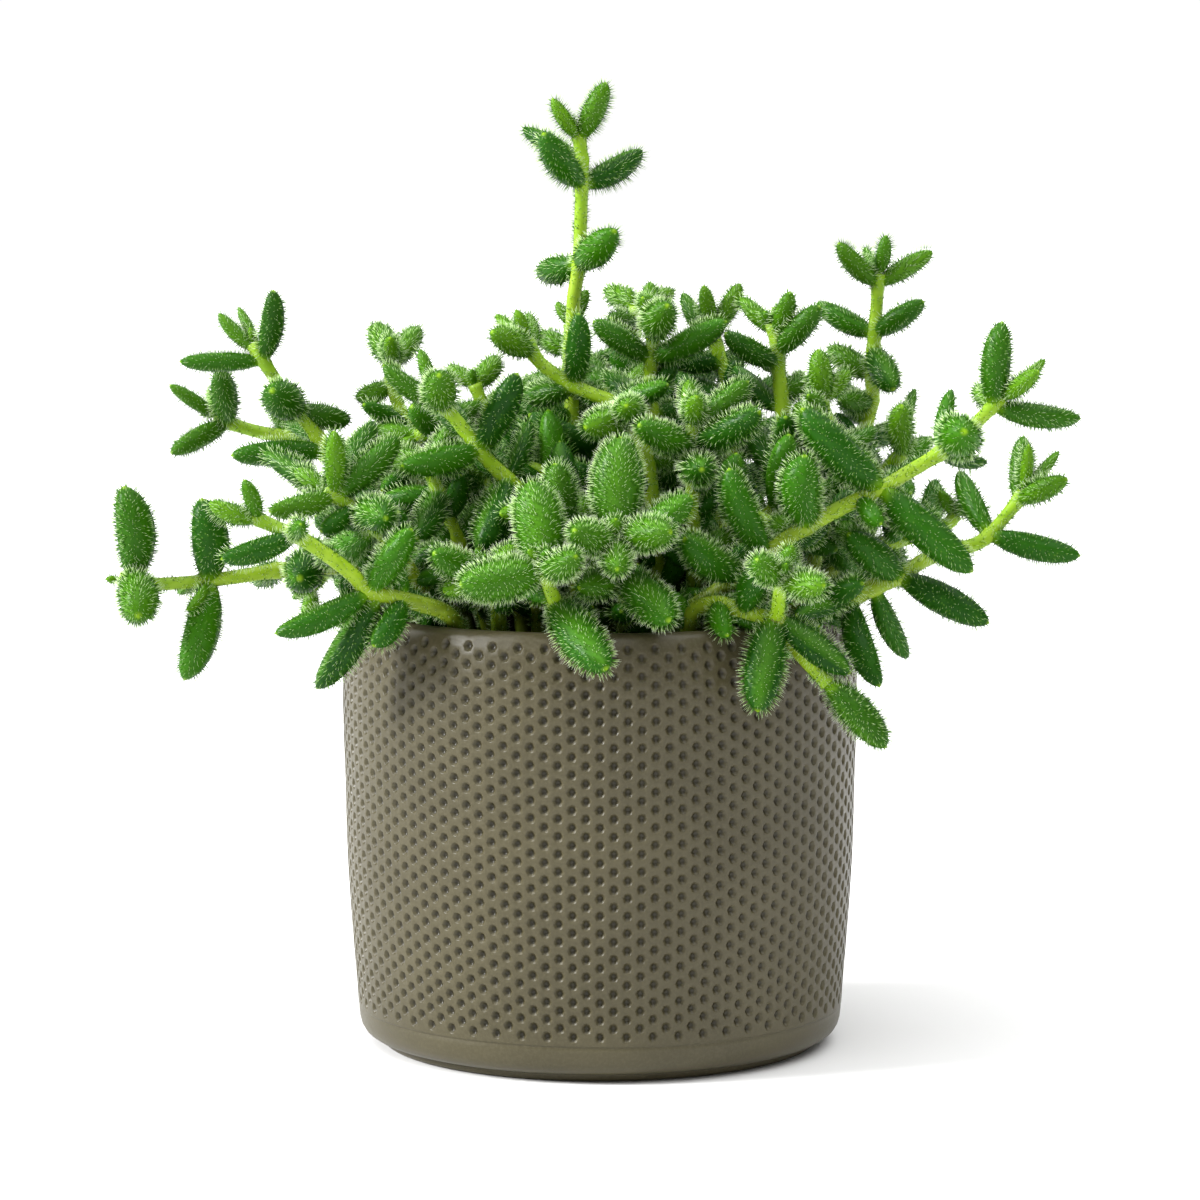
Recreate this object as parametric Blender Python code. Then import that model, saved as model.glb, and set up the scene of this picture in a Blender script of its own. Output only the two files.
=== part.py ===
"""Potted pickle plant: a dimpled cover pot, its soil, and leafy stems read off the photograph."""

import random
from math import cos, hypot, pi, radians, sin

import bmesh
import bpy
from mathutils import Vector
from mathutils.bvhtree import BVHTree

for old in list(bpy.data.objects):
    bpy.data.objects.remove(old, do_unlink=True)

MM = 0.001
CLEARANCE = 0.3 * MM

# The pot, as radius and height in millimetres.
POT_FOOT = ((44.6, 0.0), (45.2, 1.5), (47.0, 1.7), (49.3, 4.2), (49.6, 7.8))
POT_WALL = ((49.8, 11.6), (50.5, 19.9), (51.1, 28.2), (51.6, 36.4), (51.9, 44.8), (52.0, 53.0),
            (52.3, 61.4), (52.5, 70.5), (52.3, 79.0), (51.6, 84.5))
POT_LIP = ((50.9, 87.2), (49.9, 88.7), (48.4, 89.0), (47.4, 87.6))
POT_INSIDE = ((45.2, 8.0), (42.0, 5.0))
POT_COLUMNS = 32
NEAR_WALL = 48 * MM
DIMPLE_ROWS = 12
DIMPLE_DEPTH = 0.5 * MM

# The soil, and the holes that the stems stand in.
SOIL_TOP = 81 * MM
SOIL_RELIEF = 0.9 * MM
SOIL_RINGS = (38.0, 27.0, 15.0)
SOIL_COLUMNS = 14
ROOT_DEPTH = 7 * MM
HOLE_DEPTH = ROOT_DEPTH + CLEARANCE
HOLE_HEADROOM = 5 * MM
HOLE_RADIUS = 2.9 * MM
HOLE_SIDES = 5
STEM_OUT = 3.2 * MM

# Where a stem or leaf moves, in millimetres or degrees, when its place is taken.
ROOT_LIMIT = 43.0
ROOT_SHIFTS = (0.0, 3.0, 5.0, 7.5, 10.0, 13.0)
HIDDEN_TURNS = (0, 7, -7, 14, -14, 21, -21)
DEPTH_SHIFTS = (0, -2, 2, -4, 4, -6, 6, -8, 8, -11, 11, -14, 14)
LEAF_SHRINKS = (1.0, 0.86, 0.72)

# Stems and leaves.
STEM_SIDES = 4
STEM_FOOT_RADIUS = 1.9 * MM
STEM_TIP_RADIUS = 1.35 * MM
STRAIGHT = radians(7)
LEAF_RINGS = ((0.27, 0.98), (0.82, 0.88))
LEAF_SINK = 0.6 * MM
LEAF_SPINS = (0.5, 0.38, 0.63, 0.27)
SOLVERS = ("EXACT", "MANIFOLD")
WELD = 0.0003 * MM
UPPER_FACE = 0.82
LOWER_FACE = 1.04
LEAF_SIDES = ((3.6 * MM, 4), (7.6 * MM, 5), (1.0, 6))
HIDDEN_LEAF_SIDES = 4
PLUMP = 1.12

# The drawing plane: the view of the photograph, with across, up and depth in millimetres.
EYE = Vector((0.0, -0.900, 0.186))
PITCH = radians(6.07)
CENTRE = Vector((0.0, 0.0, 0.0903))
DRAWING_UP = Vector((0.0, sin(PITCH), cos(PITCH)))

# Each stem: its name, its root on the soil (x, y), its route (across, up, depth) and its
# leaves (place on the route, then the tip's across, up and depth, then the width).
STEMS = (
    ("tall_centre_stem", (-2, 14),
     ((-5, 20, 16), (-5.8, 40, 18), (-5.5, 59, 18), (-5, 63.9, 18), (-4.2, 68.6, 18),
      (-4, 75.4, 18), (-3.7, 84.8, 18), (-3.7, 89.7, 18), (-4.2, 94, 18), (-4.6, 96, 18)),
     ((8, 1.3, 105.6, 15, 5.2), (8, -9.8, 102.3, 15, 3.4), (7, -15.8, 96.3, 27, 4.4),
      (6, -11.6, 95.3, 7, 6.6), (6, 8.7, 91.7, 25, 6.0), (4, 3.1, 75.4, 5, 7.0),
      (4, -12.2, 66.6, 31, 6.5))),
    ("back_centre_stem", (-9, 30),
     ((-8, 30, 34), (-6.5, 46, 35), (-6, 56, 35)),
     ((2, -2.6, 63.3, 34, 3.3), (2, -8.8, 60.8, 37, 2.6), (1.5, -12.5, 54, 42, 5.2),
      (1, -16, 44, 40, 5.6), (1, 3.5, 51, 46, 5.2), (0, 4, 38, 44, 6), (0.2, -1, 44, 28, 6.5),
      (0, -17, 30, 32, 7.0))),
    ("left_tall_stem", (-28, 14),
     ((-40, 8, 16), (-50, 22, 16), (-57.3, 32.8, 16), (-61.9, 38.9, 16), (-65.3, 43.5, 15.5),
      (-68.7, 48.9, 15), (-70, 50.8, 15), (-71, 52.3, 15)),
     ((5, -66.6, 63.3, 10, 5.3), (5, -85.8, 48.6, 13, 4.6), (6, -77.8, 58.5, 16, 3.3),
      (6, -73.8, 59.8, 20, 2.4), (3, -67.0, 42.8, 4, 8.2), (3, -50.8, 36.6, 20, 5.8),
      (2, -63.6, 37.2, 28, 4.2), (1.8, -75.3, 29.5, 12, 6.2))),
    ("left_rear_stem", (-32, 26),
     ((-46, 22, 36), (-58, 30.5, 41), (-64.2, 33.2, 42), (-69.8, 34.3, 42), (-75.9, 36.2, 42),
      (-78.3, 37.6, 42)),
     ((5, -87.8, 43.9, 38, 3.2), (4, -77.6, 47.3, 32, 6.0), (4, -87.6, 29.9, 36, 5.0),
      (5, -80, 43, 50, 2.3), (2, -60, 22, 52, 6.0), (2, -66, 44, 52, 5.5))),
    ("far_left_stem", (-36, 0),
     ((-45, 5.5, 1), (-52, 6.6, 0), (-60, 6.6, -1), (-66, 6, -2), (-73.6, 4.8, -4),
      (-79.7, 4, -5), (-85, 3.5, -5), (-91.4, 3.3, -6), (-95, 4.3, -6), (-97.8, 4.2, -6)),
     ((8, -97.1, 23.3, -9, 8.9), (8, -94.2, -3.4, -20, 9.0), (5, -81.2, 20.8, -8, 8.7),
      (5, -84.8, -16.5, -8, 8.2), (5, -84.3, -2.2, -13, 2.4), (5, -86.2, 1.4, 3, 2.6),
      (3, -70.5, 3.6, 12, 5.0), (2, -61.3, 4.3, -17, 8.8), (2, -58, 12, 14, 6.5))),
    ("left_front_stem", (-27, -29),
     ((-31, -3, -36), (-38, -0.4, -40), (-47.1, 1.9, -43), (-49.8, 4.5, -44), (-53.5, 7.6, -45),
      (-58.5, 11, -46), (-62, 13.2, -46), (-66, 14.8, -46), (-69.5, 16.4, -46),
      (-71, 17.4, -46)),
     ((2, -66.4, -6.9, -48, 5.7), (2, -38.3, 14.6, -47, 6.4), (6, -77.4, 8.3, -52, 5.2),
      (8, -79.8, 19.8, -46, 4.2), (8, -72.6, 24.6, -49, 3.4), (1.8, -57.9, -18.2, -37, 6.8),
      (2, -54, -5.4, -34, 3.2), (6, -61, 15.5, -60, 3.4))),
    ("left_upper_stem", (-31, -14),
     ((-40, 8, -24), (-46, 15, -29), (-49.4, 18.3, -31), (-54.3, 21.3, -33), (-56, 22.6, -33)),
     ((3, -67.6, 18.1, -40, 5.0), (3, -54.3, 34.6, -36, 4.6), (4, -62.3, 26.6, -30, 3.8),
      (3, -68.8, 30.2, -24, 4.6), (2, -43.6, 16.6, -45, 6.8), (3, -40.9, 33.2, -27, 6.2),
      (1, -50, 13, -14, 6.0), (3, -46, 36.5, -22, 6.0), (1, -57, 8, -14, 6.4))),
    ("left_diagonal_stem", (-12, -12),
     ((-14, 10, -18), (-16, 21, -22), (-19, 24.6, -23), (-22.4, 28, -24), (-24.6, 30.7, -25),
      (-27.2, 34, -25), (-29.9, 37.4, -25), (-32.6, 40, -25), (-34, 42, -25)),
     ((4, -16.8, 46.4, -29, 7.0), (4, -40.6, 27.3, -32, 6.3), (7, -32.9, 46, -35, 6.8),
      (7, -44.3, 48, -25, 4.5), (8, -36.7, 51.2, -23, 3.0), (2, -14.4, 36.6, -16, 3.8),
      (2, -24.7, 10.2, -34, 7.6), (0, -20, 14, -30, 6.0))),
    ("left_inner_stem", (-22, -8),
     ((-29, 12, -13), (-33, 22, -15), (-35, 27, -16)),
     ((1, -37.6, 12.5, -29, 6.0), (2, -30, 36, -12, 5.0), (2, -44, 30, -8, 5.5),
      (0, -22, 22, -6, 5.5), (0, -40, 6, -8, 6.0))),
    ("upper_diagonal_stem", (8, 2),
     ((7, 20, -2), (6, 34, -5), (2.4, 40.1, -6), (-1.4, 41.9, -6), (-5.5, 43.8, -5),
      (-9.2, 46, -4), (-12.2, 48.4, -3), (-14, 50.8, -3), (-15, 53, -3)),
     ((4, -4.4, 58.6, -9, 5.6), (4, -15.7, 41.4, 2, 5.6), (7, -22.2, 54.8, -12, 5.3),
      (7, -14.9, 58.3, 7, 4.2), (8, -17.1, 59.2, -5, 2.7), (8, -21.3, 58.2, 3, 3.0),
      (2, 14, 44, -14, 5.0), (0, -6, 28, -8, 6.0))),
    ("front_left_rosette_stem", (-9, -26),
     ((-9.3, -2.5, -38), (-9.2, -0.5, -49), (-10.3, 2.5, -51), (-11.8, 6.5, -53),
      (-12.3, 8.3, -54)),
     ((3, -28.7, 3.2, -58, 8.2), (3, -14.1, 24.4, -49, 9.2), (3, -4.8, 9, -65, 5.6),
      (1, 1.4, -14.2, -62, 8.3), (4, -10.6, 10.2, -58, 2.0))),
    ("front_left_inner_stem", (-4, -17),
     ((-5, 4, -27), (-7.5, 14, -33), (-8, 17, -34)),
     ((1, -9.2, 28, -36, 6.5), (1, -2, 21, -24, 5.5), (0, -16, 12, -26, 6.0),
      (0, 2, 10, -24, 5.0))),
    ("front_left_low_stem", (-20, -25),
     ((-21, 0, -33), (-23, 4.5, -38), (-24, 7, -40)),
     ((1, -34, 9.7, -50, 5.8), (2, -32, 1.5, -44, 5.0), (1, -17, 11, -42, 5.5),
      (0, -30, 4, -26, 5.5))),
    ("front_centre_rosette_stem", (5, -24),
     ((5, -1, -33), (4.2, 5, -41), (3.4, 10.5, -46), (3.3, 12.8, -48)),
     ((3, 4.3, 33.4, -45, 9.6), (3, -5.4, 14.3, -61, 6.4), (3, 14.6, 13.9, -59, 6.6),
      (3, 3.5, 6.2, -62, 5.4), (3, 3.2, 16.6, -54, 3.0), (1, 14.2, -4.3, -57, 7.8),
      (1, -4.5, 2.4, -50, 6.0), (2, 18.9, 21.3, -50, 6.8))),
    ("ball_stem", (13, -8),
     ((11.5, 8, -14), (10.6, 20.7, -18), (10.2, 26.5, -19), (9.2, 30.6, -20),
      (7.1, 34.7, -20), (5.8, 38, -21)),
     ((5, 5.3, 39.7, -33, 5.6), (5, -3.2, 35.2, -30, 6.4), (3, 16, 28.5, -14, 5.0),
      (1, -1, 20, -12, 5.5), (1, 21, 15, -12, 5.5))),
    ("centre_rosette_stem", (19, -16),
     ((19, 10, -20), (18.8, 28.5, -24), (19, 31.4, -25), (19, 34.5, -26), (19, 36, -26)),
     ((4, 18, 44.9, -24, 3.8), (4, 19.7, 41.6, -33, 4.2), (3, 30.3, 44.7, -28, 5.4),
      (2, 32.8, 38.5, -36, 6.8), (2, 7.8, 35.8, -37, 6.2), (1, 20.8, 26.6, -39, 6.6),
      (0, 28, 14, -14, 6.0))),
    ("centre_right_tall_stem", (14, 8),
     ((12, 20, 6), (11, 30, 5), (10.5, 38.4, 4), (10.2, 43.5, 4), (10.4, 49.2, 3),
      (10.9, 54, 2), (11.2, 56.5, 2)),
     ((4, -1.5, 56.9, 0, 5.6), (4, 25.9, 56.9, -2, 6.2), (5, 13.8, 60.2, -11, 6.6),
      (6, 8.6, 61.8, -5, 3.8), (6, 10.2, 64.9, 6, 4.0), (2, 22, 40, 12, 5.6),
      (2, 1, 46, 14, 5.6), (1, 19, 21, 11, 7.0), (0.3, 17, 31, -3, 6.6),
      (0, 3, 12, 4, 7.0))),
    ("back_centre_right_stem", (22, 22),
     ((27, 30, 26), (26.4, 40, 27), (25.4, 46, 28), (23.8, 51.5, 28), (23.2, 55, 28)),
     ((4, 21.1, 64.2, 26, 3.5), (4, 28.6, 64.6, 30, 4.5), (3, 16.8, 62.7, 34, 4.2),
      (1, 15, 46, 34, 6.0), (1, 38, 46, 34, 5.6), (0, 38, 37, 30, 7.4), (0, 32, 15, 30, 7.4),
      (0.5, 17, 30, 24, 7.4))),
    ("back_middle_stem", (6, 34),
     ((6, 28, 38), (6.4, 44, 40), (7.2, 56, 41), (7.4, 60, 41)),
     ((3, 1.6, 63.2, 52, 5.4), (2, 2.2, 57.5, 30, 4.6), (1, -2.4, 44.3, 52, 5.6),
      (3, 15, 63, 48, 4.8))),
    ("right_upper_stem", (34, 2),
     ((38, 20, 4), (38, 30, 4), (37.2, 39, 4), (36.4, 46.9, 4), (36.2, 50.5, 4),
      (35.6, 54.5, 4), (35, 56.5, 4)),
     ((4, 44.9, 60, -2, 5.6), (5, 38.8, 62.9, -1, 4.2), (5, 28.5, 61.7, 8, 3.8),
      (6, 33.5, 58.9, 2, 1.9), (3.4, 25.4, 54.5, -3, 5.3), (2, 27.3, 47.6, 14, 5.2),
      (2, 41, 46.8, 16, 3.4), (1, 37.8, 37.5, -9, 5.0), (0.4, 30, 36, 13, 7.2),
      (0, 31, 9, 10, 7.2), (2.5, 43.5, 44.5, 10, 5.4))),
    ("tall_right_stem", (36, 20),
     ((48, 22, 30), (53, 32, 36), (55.4, 40.7, 38), (55.4, 46, 38), (55.8, 51, 38),
      (55.9, 54.3, 38), (56.4, 59.8, 38), (56.6, 64.4, 38), (56.9, 66.5, 38)),
     ((7, 48.5, 72.9, 34, 4.8), (8, 54, 71.9, 46, 2.5), (8, 58.3, 74.4, 36, 3.3),
      (7, 67.8, 71.1, 41, 4.6), (5, 44.1, 60.6, 44, 5.5), (5, 66.1, 61, 33, 5.3),
      (4, 59.9, 42.8, 27, 6.4), (3, 46.5, 51.5, 44, 6.0), (2, 48.6, 40.8, 30, 4.4),
      (1, 63, 36, 46, 5.5))),
    ("right_inner_stem", (40, -8),
     ((46, 18, -8), (47, 30, -6), (46, 37, -6), (45.2, 40.8, -6)),
     ((3, 44.5, 51.2, -8, 5.2), (3, 50.9, 46.8, -4, 4.2), (2, 42.3, 41.9, -14, 3.0),
      (1, 56.5, 35, 4, 5.0), (0, 52, 28, -22, 6.0), (0, 34, 22, -12, 6.0),
      (1.6, 40, 40, 2, 6.0), (0, 53, 5, 2, 7.2))),
    ("right_big_stem", (11, -22),
     ((16, -3.5, -27), (21.8, 0.3, -31), (25.2, 2.6, -33), (29.2, 5, -35), (34, 9.2, -36),
      (37.4, 12, -36), (42.2, 15, -36), (50, 19.2, -35), (57.2, 22.6, -34), (62.5, 25.8, -32),
      (69.3, 29.9, -30), (74, 33.4, -28), (77.8, 37.2, -26), (80.2, 39.6, -25),
      (82, 41.2, -25)),
     ((4, 26.2, 27, -40, 6.9), (3, 17, 12.7, -43, 7.4), (6, 41.8, 29.7, -41, 8.4),
      (6, 46.2, 24, -30, 3.4), (8, 41, 39.2, -38, 8.0), (8, 76.1, 5.6, -38, 8.0),
      (11, 74.4, 34.4, -44, 8.8), (10, 78.9, 28.1, -20, 3.6), (13, 77, 43.3, -13, 4.2),
      (10, 71.7, 43, -22, 4.0), (13, 82, 56.9, -27, 6.5), (13, 98.1, 37, -22, 5.4),
      (14, 89.5, 46.8, -33, 3.7), (14, 90.8, 49.1, -20, 2.7))),
    ("right_low_stem", (31, -21),
     ((38, -1.5, -24), (44, -1.2, -26), (51, 0.2, -28), (56, 2.6, -27), (61.2, 4.8, -26),
      (65.9, 8, -22), (71, 9.9, -18), (76.4, 11.3, -14), (79.4, 13.3, -12), (82.1, 16.4, -11),
      (85.3, 20.3, -10), (86.4, 22, -10)),
     ((4, 79.4, -4.8, -32, 6.6), (4, 50.4, 13.7, -33, 7.3), (8, 98, 9, -16, 5.9),
      (8, 73.1, 26.3, -1, 5.6), (10, 95.3, 24.8, -18, 4.7), (10, 86.4, 33.5, -4, 5.0),
      (11, 87.4, 31.8, -14, 2.9), (11, 93.6, 30.4, -4, 2.5), (2, 57.1, -17.8, -37, 6.5),
      (3, 62.7, -12, -18, 5.2), (2, 39.8, -3.2, -42, 4.6), (1, 53.8, 3.5, -39, 5.0))),
    ("front_right_stem", (17, -32),
     ((19, -2.5, -37), (23.5, -0.6, -40), (27.5, -1.7, -42), (32, -3, -43), (35.6, -3.6, -46),
      (36.5, 0, -51), (37, 4.5, -55)),
     ((4, 32.1, -22.9, -55, 8.0), (4, 51.1, -15.1, -49, 6.2), (6, 31.9, 8.3, -63, 5.2),
      (6, 45.8, 3, -66, 5.4), (6, 39.2, 11.1, -58, 3.6), (6, 38, 7.5, -62, 2.0))),
    ("front_right_stem", None,
     ((35.6, -3.6, -46), (41, -11, -47), (46.5, -17.2, -48)),
     ((2, 58.4, -30.2, -50, 7.0),)),
    ("back_left_stem", (-25, 26),
     ((-33, 24, 22), (-39, 35, 20), (-42.5, 44, 20), (-42, 48.5, 20)),
     ((3, -46, 56.2, 31, 6.4), (3, -36.9, 55.6, 30, 5.2), (3, -42.8, 53.6, 11, 3.6),
      (2, -49.8, 41, 22, 4.6), (1, -48.4, 40, 8, 4.2), (1, -32, 40, 30, 5.6),
      (1, -53, 30, 12, 7.4), (0.5, -46, 21, 14, 7.4))),
    ("back_left_inner_stem", (-15, 20),
     ((-19, 28, 18), (-24, 40, 17), (-25.6, 44, 17)),
     ((2, -20.9, 49.5, 26, 5.0), (2, -31, 47.8, 22, 3.6), (1, -12, 44, 22, 5.5),
      (1, -34, 36, 6, 5.5), (0, -28, 28, 30, 6.0), (0, -31, 13, 24, 7.5),
      (0.4, -12, 24, 12, 7.0))),
    ("right_back_low_stem", (43, 4),
     ((50, 9, 6), (60, 12, 8), (67, 13.5, 6), (71.5, 16, 4), (72.5, 17.5, 4)),
     ((4, 76.2, 21.8, -1, 3.7), (4, 69.2, 22.3, 2, 3.0), (2, 68.5, 24.6, 18, 5.2),
      (1, 62, 3, 20, 6.0), (1, 60, 22, 16, 5.5))),
    ("right_middle_stem", (35, 11),
     ((47, 16, 3), (57, 25, 1), (61.5, 30, -1)),
     ((2, 61.5, 39.8, -9, 5.6), (2, 64.3, 43.2, 10, 3.2), (1, 68, 33, 10, 5.0),
      (1, 52, 34, 14, 5.6), (0, 56, 14, -10, 5.5))),
)

# The stems that the photograph hides: azimuth in degrees, root radius, reach, rise and fall in
# millimetres; their leaves follow by rule, inside the mound's outline in the photograph.
HIDDEN_STEMS = (
    (-8, 26, 24, 26, 6), (40, 38, 40, 14, 10), (62, 36, 34, 24, 10),
    (66, 22, 30, 46, 4), (84, 40, 44, 14, 24), (100, 26, 34, 38, 6), (116, 38, 42, 18, 20),
    (138, 40, 36, 14, 14), (150, 28, 34, 32, 8), (172, 36, 20, 16, 4), (168, 16, 22, 38, 2),
    (-30, 20, 20, 22, 2), (-112, 14, 16, 24, 0), (75, 8, 10, 44, 0), (-165, 6, 12, 30, 0),
)
MOUND_OUTLINE = ((-50, -40), (-50, -3), (-56, 5), (-59, 18), (-54, 32), (-44, 41), (-28, 41),
                 (-12, 43), (-2, 52), (24, 53), (44, 49), (54, 40), (63, 30), (65, 20),
                 (60, 8), (51, -3), (51, -40))
ARCH_PLACES = (0.2, 0.45, 0.7, 1.0)
ARCH_FOOT = 6.5
ARCH_SWAY = 3.0
PAIR_SPACING = 15 * MM
PAIR_LENGTHS = (14.5, 18.0)
PAIR_WIDTHS = (6.2, 7.6)
PAIR_LEANS = (0.9, 1.15)
PAIR_TURN = 0.35
TIP_PAIR = (11.0, 4.2, 0.55)
TRIED_TURNS = (0, 0.35, -0.35, 0.7, -0.7, 1.1, -1.1)
TRIED_LEANS = (0, -0.35, 0.3)
SEED = 7


def place(across, up, depth):
    """World point for a place on the drawing plane and its depth, all in millimetres."""
    seen = CENTRE + Vector((1, 0, 0)) * across * MM + DRAWING_UP * up * MM
    ray = seen - EYE
    return EYE + ray * ((depth * MM - EYE.y) / ray.y)


def inside_outline(point):
    """Whether a world point, seen from the photograph's eye, falls on the mound."""
    view = (CENTRE - EYE).normalized()
    ray = point - EYE
    seen = EYE + ray * ((CENTRE - EYE).length / ray.dot(view)) - CENTRE
    across, up = seen.x / MM, seen.dot(DRAWING_UP) / MM
    inside = False
    for (x0, y0), (x1, y1) in zip(MOUND_OUTLINE, MOUND_OUTLINE[1:] + MOUND_OUTLINE[:1]):
        if (y0 > up) != (y1 > up) and across < x0 + (x1 - x0) * (up - y0) / (y1 - y0):
            inside = not inside
    return inside


def frame_along(direction, hint):
    """Two unit vectors across a direction, the second as near to the hint as it goes."""
    side = hint.cross(direction)
    if side.length < 1e-6:
        side = Vector((0.31, 0.83, 0.47)).cross(direction)
    side.normalize()
    return side, direction.cross(side).normalized()


def bends_only(points):
    """The points of a route at which it turns, with its two ends."""
    kept = [points[0]]
    for point, after in zip(points[1:], points[2:]):
        if (point - kept[-1]).angle(after - point) > STRAIGHT:
            kept.append(point)
    return kept + [points[-1]]


def stem_solid(points, grow=0.0):
    """Corners and faces of a few-sided tube through the points, thinner towards its tip."""
    corners = []
    points = bends_only(points)
    last = len(points) - 1
    hint = Vector((0.2, 0.9, 0.4))
    for index, point in enumerate(points):
        ahead = points[min(index + 1, last)] - points[max(index - 1, 0)]
        ahead.normalize()
        side, hint = frame_along(ahead, hint)
        radius = STEM_FOOT_RADIUS + (STEM_TIP_RADIUS - STEM_FOOT_RADIUS) * index / last + grow
        for k in range(STEM_SIDES):
            turn = 2 * pi * k / STEM_SIDES
            corners.append(point + side * cos(turn) * radius + hint * sin(turn) * radius)
    return corners, ring_faces(last + 1, STEM_SIDES, True)


def ring_faces(rings, sides, capped):
    """Faces of a row of rings, closed at the foot and, when capped, at the far end."""
    faces = [list(reversed(range(sides)))]
    for ring in range(rings - 1):
        low = ring * sides
        for k in range(sides):
            after = (k + 1) % sides
            faces.append([low + k, low + after, low + sides + after, low + sides + k])
    if capped:
        faces.append([(rings - 1) * sides + k for k in range(sides)])
    return faces


def leaf_solid(base, tip, width, face, sides, grow=0.0, spin=LEAF_SPINS[0]):
    """Corners and faces of one plump leaf, rounder below than on the face it turns up."""
    length = (tip - base).length + grow
    along = (tip - base).normalized()
    side, up = frame_along(along, face)
    corners = []
    for share, swell in LEAF_RINGS:
        radius = width / 2 * swell * PLUMP + grow
        for k in range(sides):
            turn = 2 * pi * (k + spin) / sides
            flat = UPPER_FACE if sin(turn) > 0 else LOWER_FACE
            corners.append(base + along * length * share
                           + side * cos(turn) * radius + up * sin(turn) * radius * flat)
    faces = ring_faces(len(LEAF_RINGS), sides, False)[1:]
    low = (len(LEAF_RINGS) - 1) * sides
    corners += [base - along * LEAF_SINK, base + along * length]
    for k in range(sides):
        after = (k + 1) % sides
        faces.append([after, k, len(corners) - 2])
        faces.append([low + k, low + after, len(corners) - 1])
    return corners, faces


def tree_of(solid):
    """Search tree and box of a solid, for the test of what touches what."""
    corners, faces = solid
    low = [min(c[i] for c in corners) for i in range(3)]
    high = [max(c[i] for c in corners) for i in range(3)]
    return BVHTree.FromPolygons(corners, faces), low, high


def touching(tree, others):
    """Whether a solid crosses any of the others."""
    for other in others:
        apart = False
        for i in range(3):
            if tree[1][i] > other[2][i] or other[1][i] > tree[2][i]:
                apart = True
        if not apart and tree[0].overlap(other[0]):
            return True
    return False


def lathe(profile, columns):
    """Corners and faces of a closed turned solid from radius and height in millimetres."""
    corners = []
    for radius, height in profile:
        for k in range(columns):
            turn = 2 * pi * k / columns
            corners.append(Vector((radius * MM * cos(turn), radius * MM * sin(turn), height * MM)))
    return corners, ring_faces(len(profile), columns, True)


def pot_radius(height):
    """Outside radius of the pot's wall at a height, in millimetres."""
    profile = (POT_FOOT[-1],) + POT_WALL
    for (r0, z0), (r1, z1) in zip(profile, profile[1:]):
        if z0 <= height <= z1:
            return r0 + (r1 - r0) * (height - z0) / (z1 - z0)
    return profile[-1][0]


def clear_of_pot(solid, pot_tree):
    """Whether a solid keeps clear of the pot and, inside it, of the soil."""
    tree = tree_of(solid)
    if touching(tree, [pot_tree]):
        return False
    for corner in solid[0]:
        low = corner.z < SOIL_TOP + SOIL_RELIEF + CLEARANCE
        if low and hypot(corner.x, corner.y) < NEAR_WALL:
            return False
    return True


def point_on(points, where):
    """Point and direction at a place on a route, counted in points."""
    index = min(int(where), len(points) - 2)
    start = points[index]
    step = points[index + 1] - start
    return start + step * (where - index), step.normalized()


def rooted(root, points):
    """Route from the hole in the soil to the first point that can be seen."""
    ground = Vector((root[0] * MM, root[1] * MM, SOIL_TOP))
    low = ground - Vector((0, 0, ROOT_DEPTH))
    out = ground + Vector((0, 0, STEM_OUT))
    return [low, out] + points


def settle_stem(root, points, stems_so_far):
    """Route from a root near the asked one that clears the stems before it, or none."""
    for shift in ROOT_SHIFTS:
        for k in range(8):
            spot = (root[0] + shift * cos(k * pi / 4), root[1] + shift * sin(k * pi / 4))
            if hypot(*spot) < ROOT_LIMIT:
                route = rooted(spot, points)
                if not touching(tree_of(stem_solid(route, CLEARANCE)), stems_so_far):
                    return route
    return None


def settle_leaf(base, direction, tips, width, sides, others, pot_tree):
    """First of the offered tips at which a leaf clears the other nodes, or none."""
    for shrink in (1.0, 0.86, 0.72):
        for tip in tips:
            end = base + (tip - base) * (1 + shrink) / 2
            grown = leaf_solid(base, end, width * shrink, direction, sides, CLEARANCE)
            if clear_of_pot(grown, pot_tree) and not touching(tree_of(grown), others):
                return end, width * shrink
    return None


def hidden_route(azimuth, root_radius, reach, rise, fall):
    """Root and route of a stem that the photograph hides, arching out from the soil."""
    turn = radians(azimuth)
    out = Vector((cos(turn), sin(turn), 0))
    aside = Vector((-sin(turn), cos(turn), 0))
    points = []
    for share in ARCH_PLACES:
        height = ARCH_FOOT + rise * sin(pi / 2 * min(share * 1.35, 1.0)) - fall * share ** 3
        flat = out * (root_radius + reach * share ** 1.25) + aside * ARCH_SWAY * sin(3 * share)
        points.append(flat * MM + Vector((0, 0, SOIL_TOP + height * MM)))
    return (out.x * root_radius, out.y * root_radius), points


def all_stems():
    """Every stem's name, the routes it may take and the leaves it asks for."""
    asked = []
    for name, root, route, leaves in STEMS:
        asked.append((name, [(root, [place(*p) for p in route])], leaves))
    for number, (azimuth, *sizes) in enumerate(HIDDEN_STEMS, 1):
        choices = [hidden_route(azimuth + turn, *sizes) for turn in HIDDEN_TURNS]
        asked.append((f"hidden_stem_{number:02d}", choices, None))
    return asked


def drawn_tips(leaf):
    """Tips to try for a leaf read off the photograph: only its depth may change."""
    where, across, up, depth, width = leaf
    return [place(across, up, depth + shift) for shift in DEPTH_SHIFTS]


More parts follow.
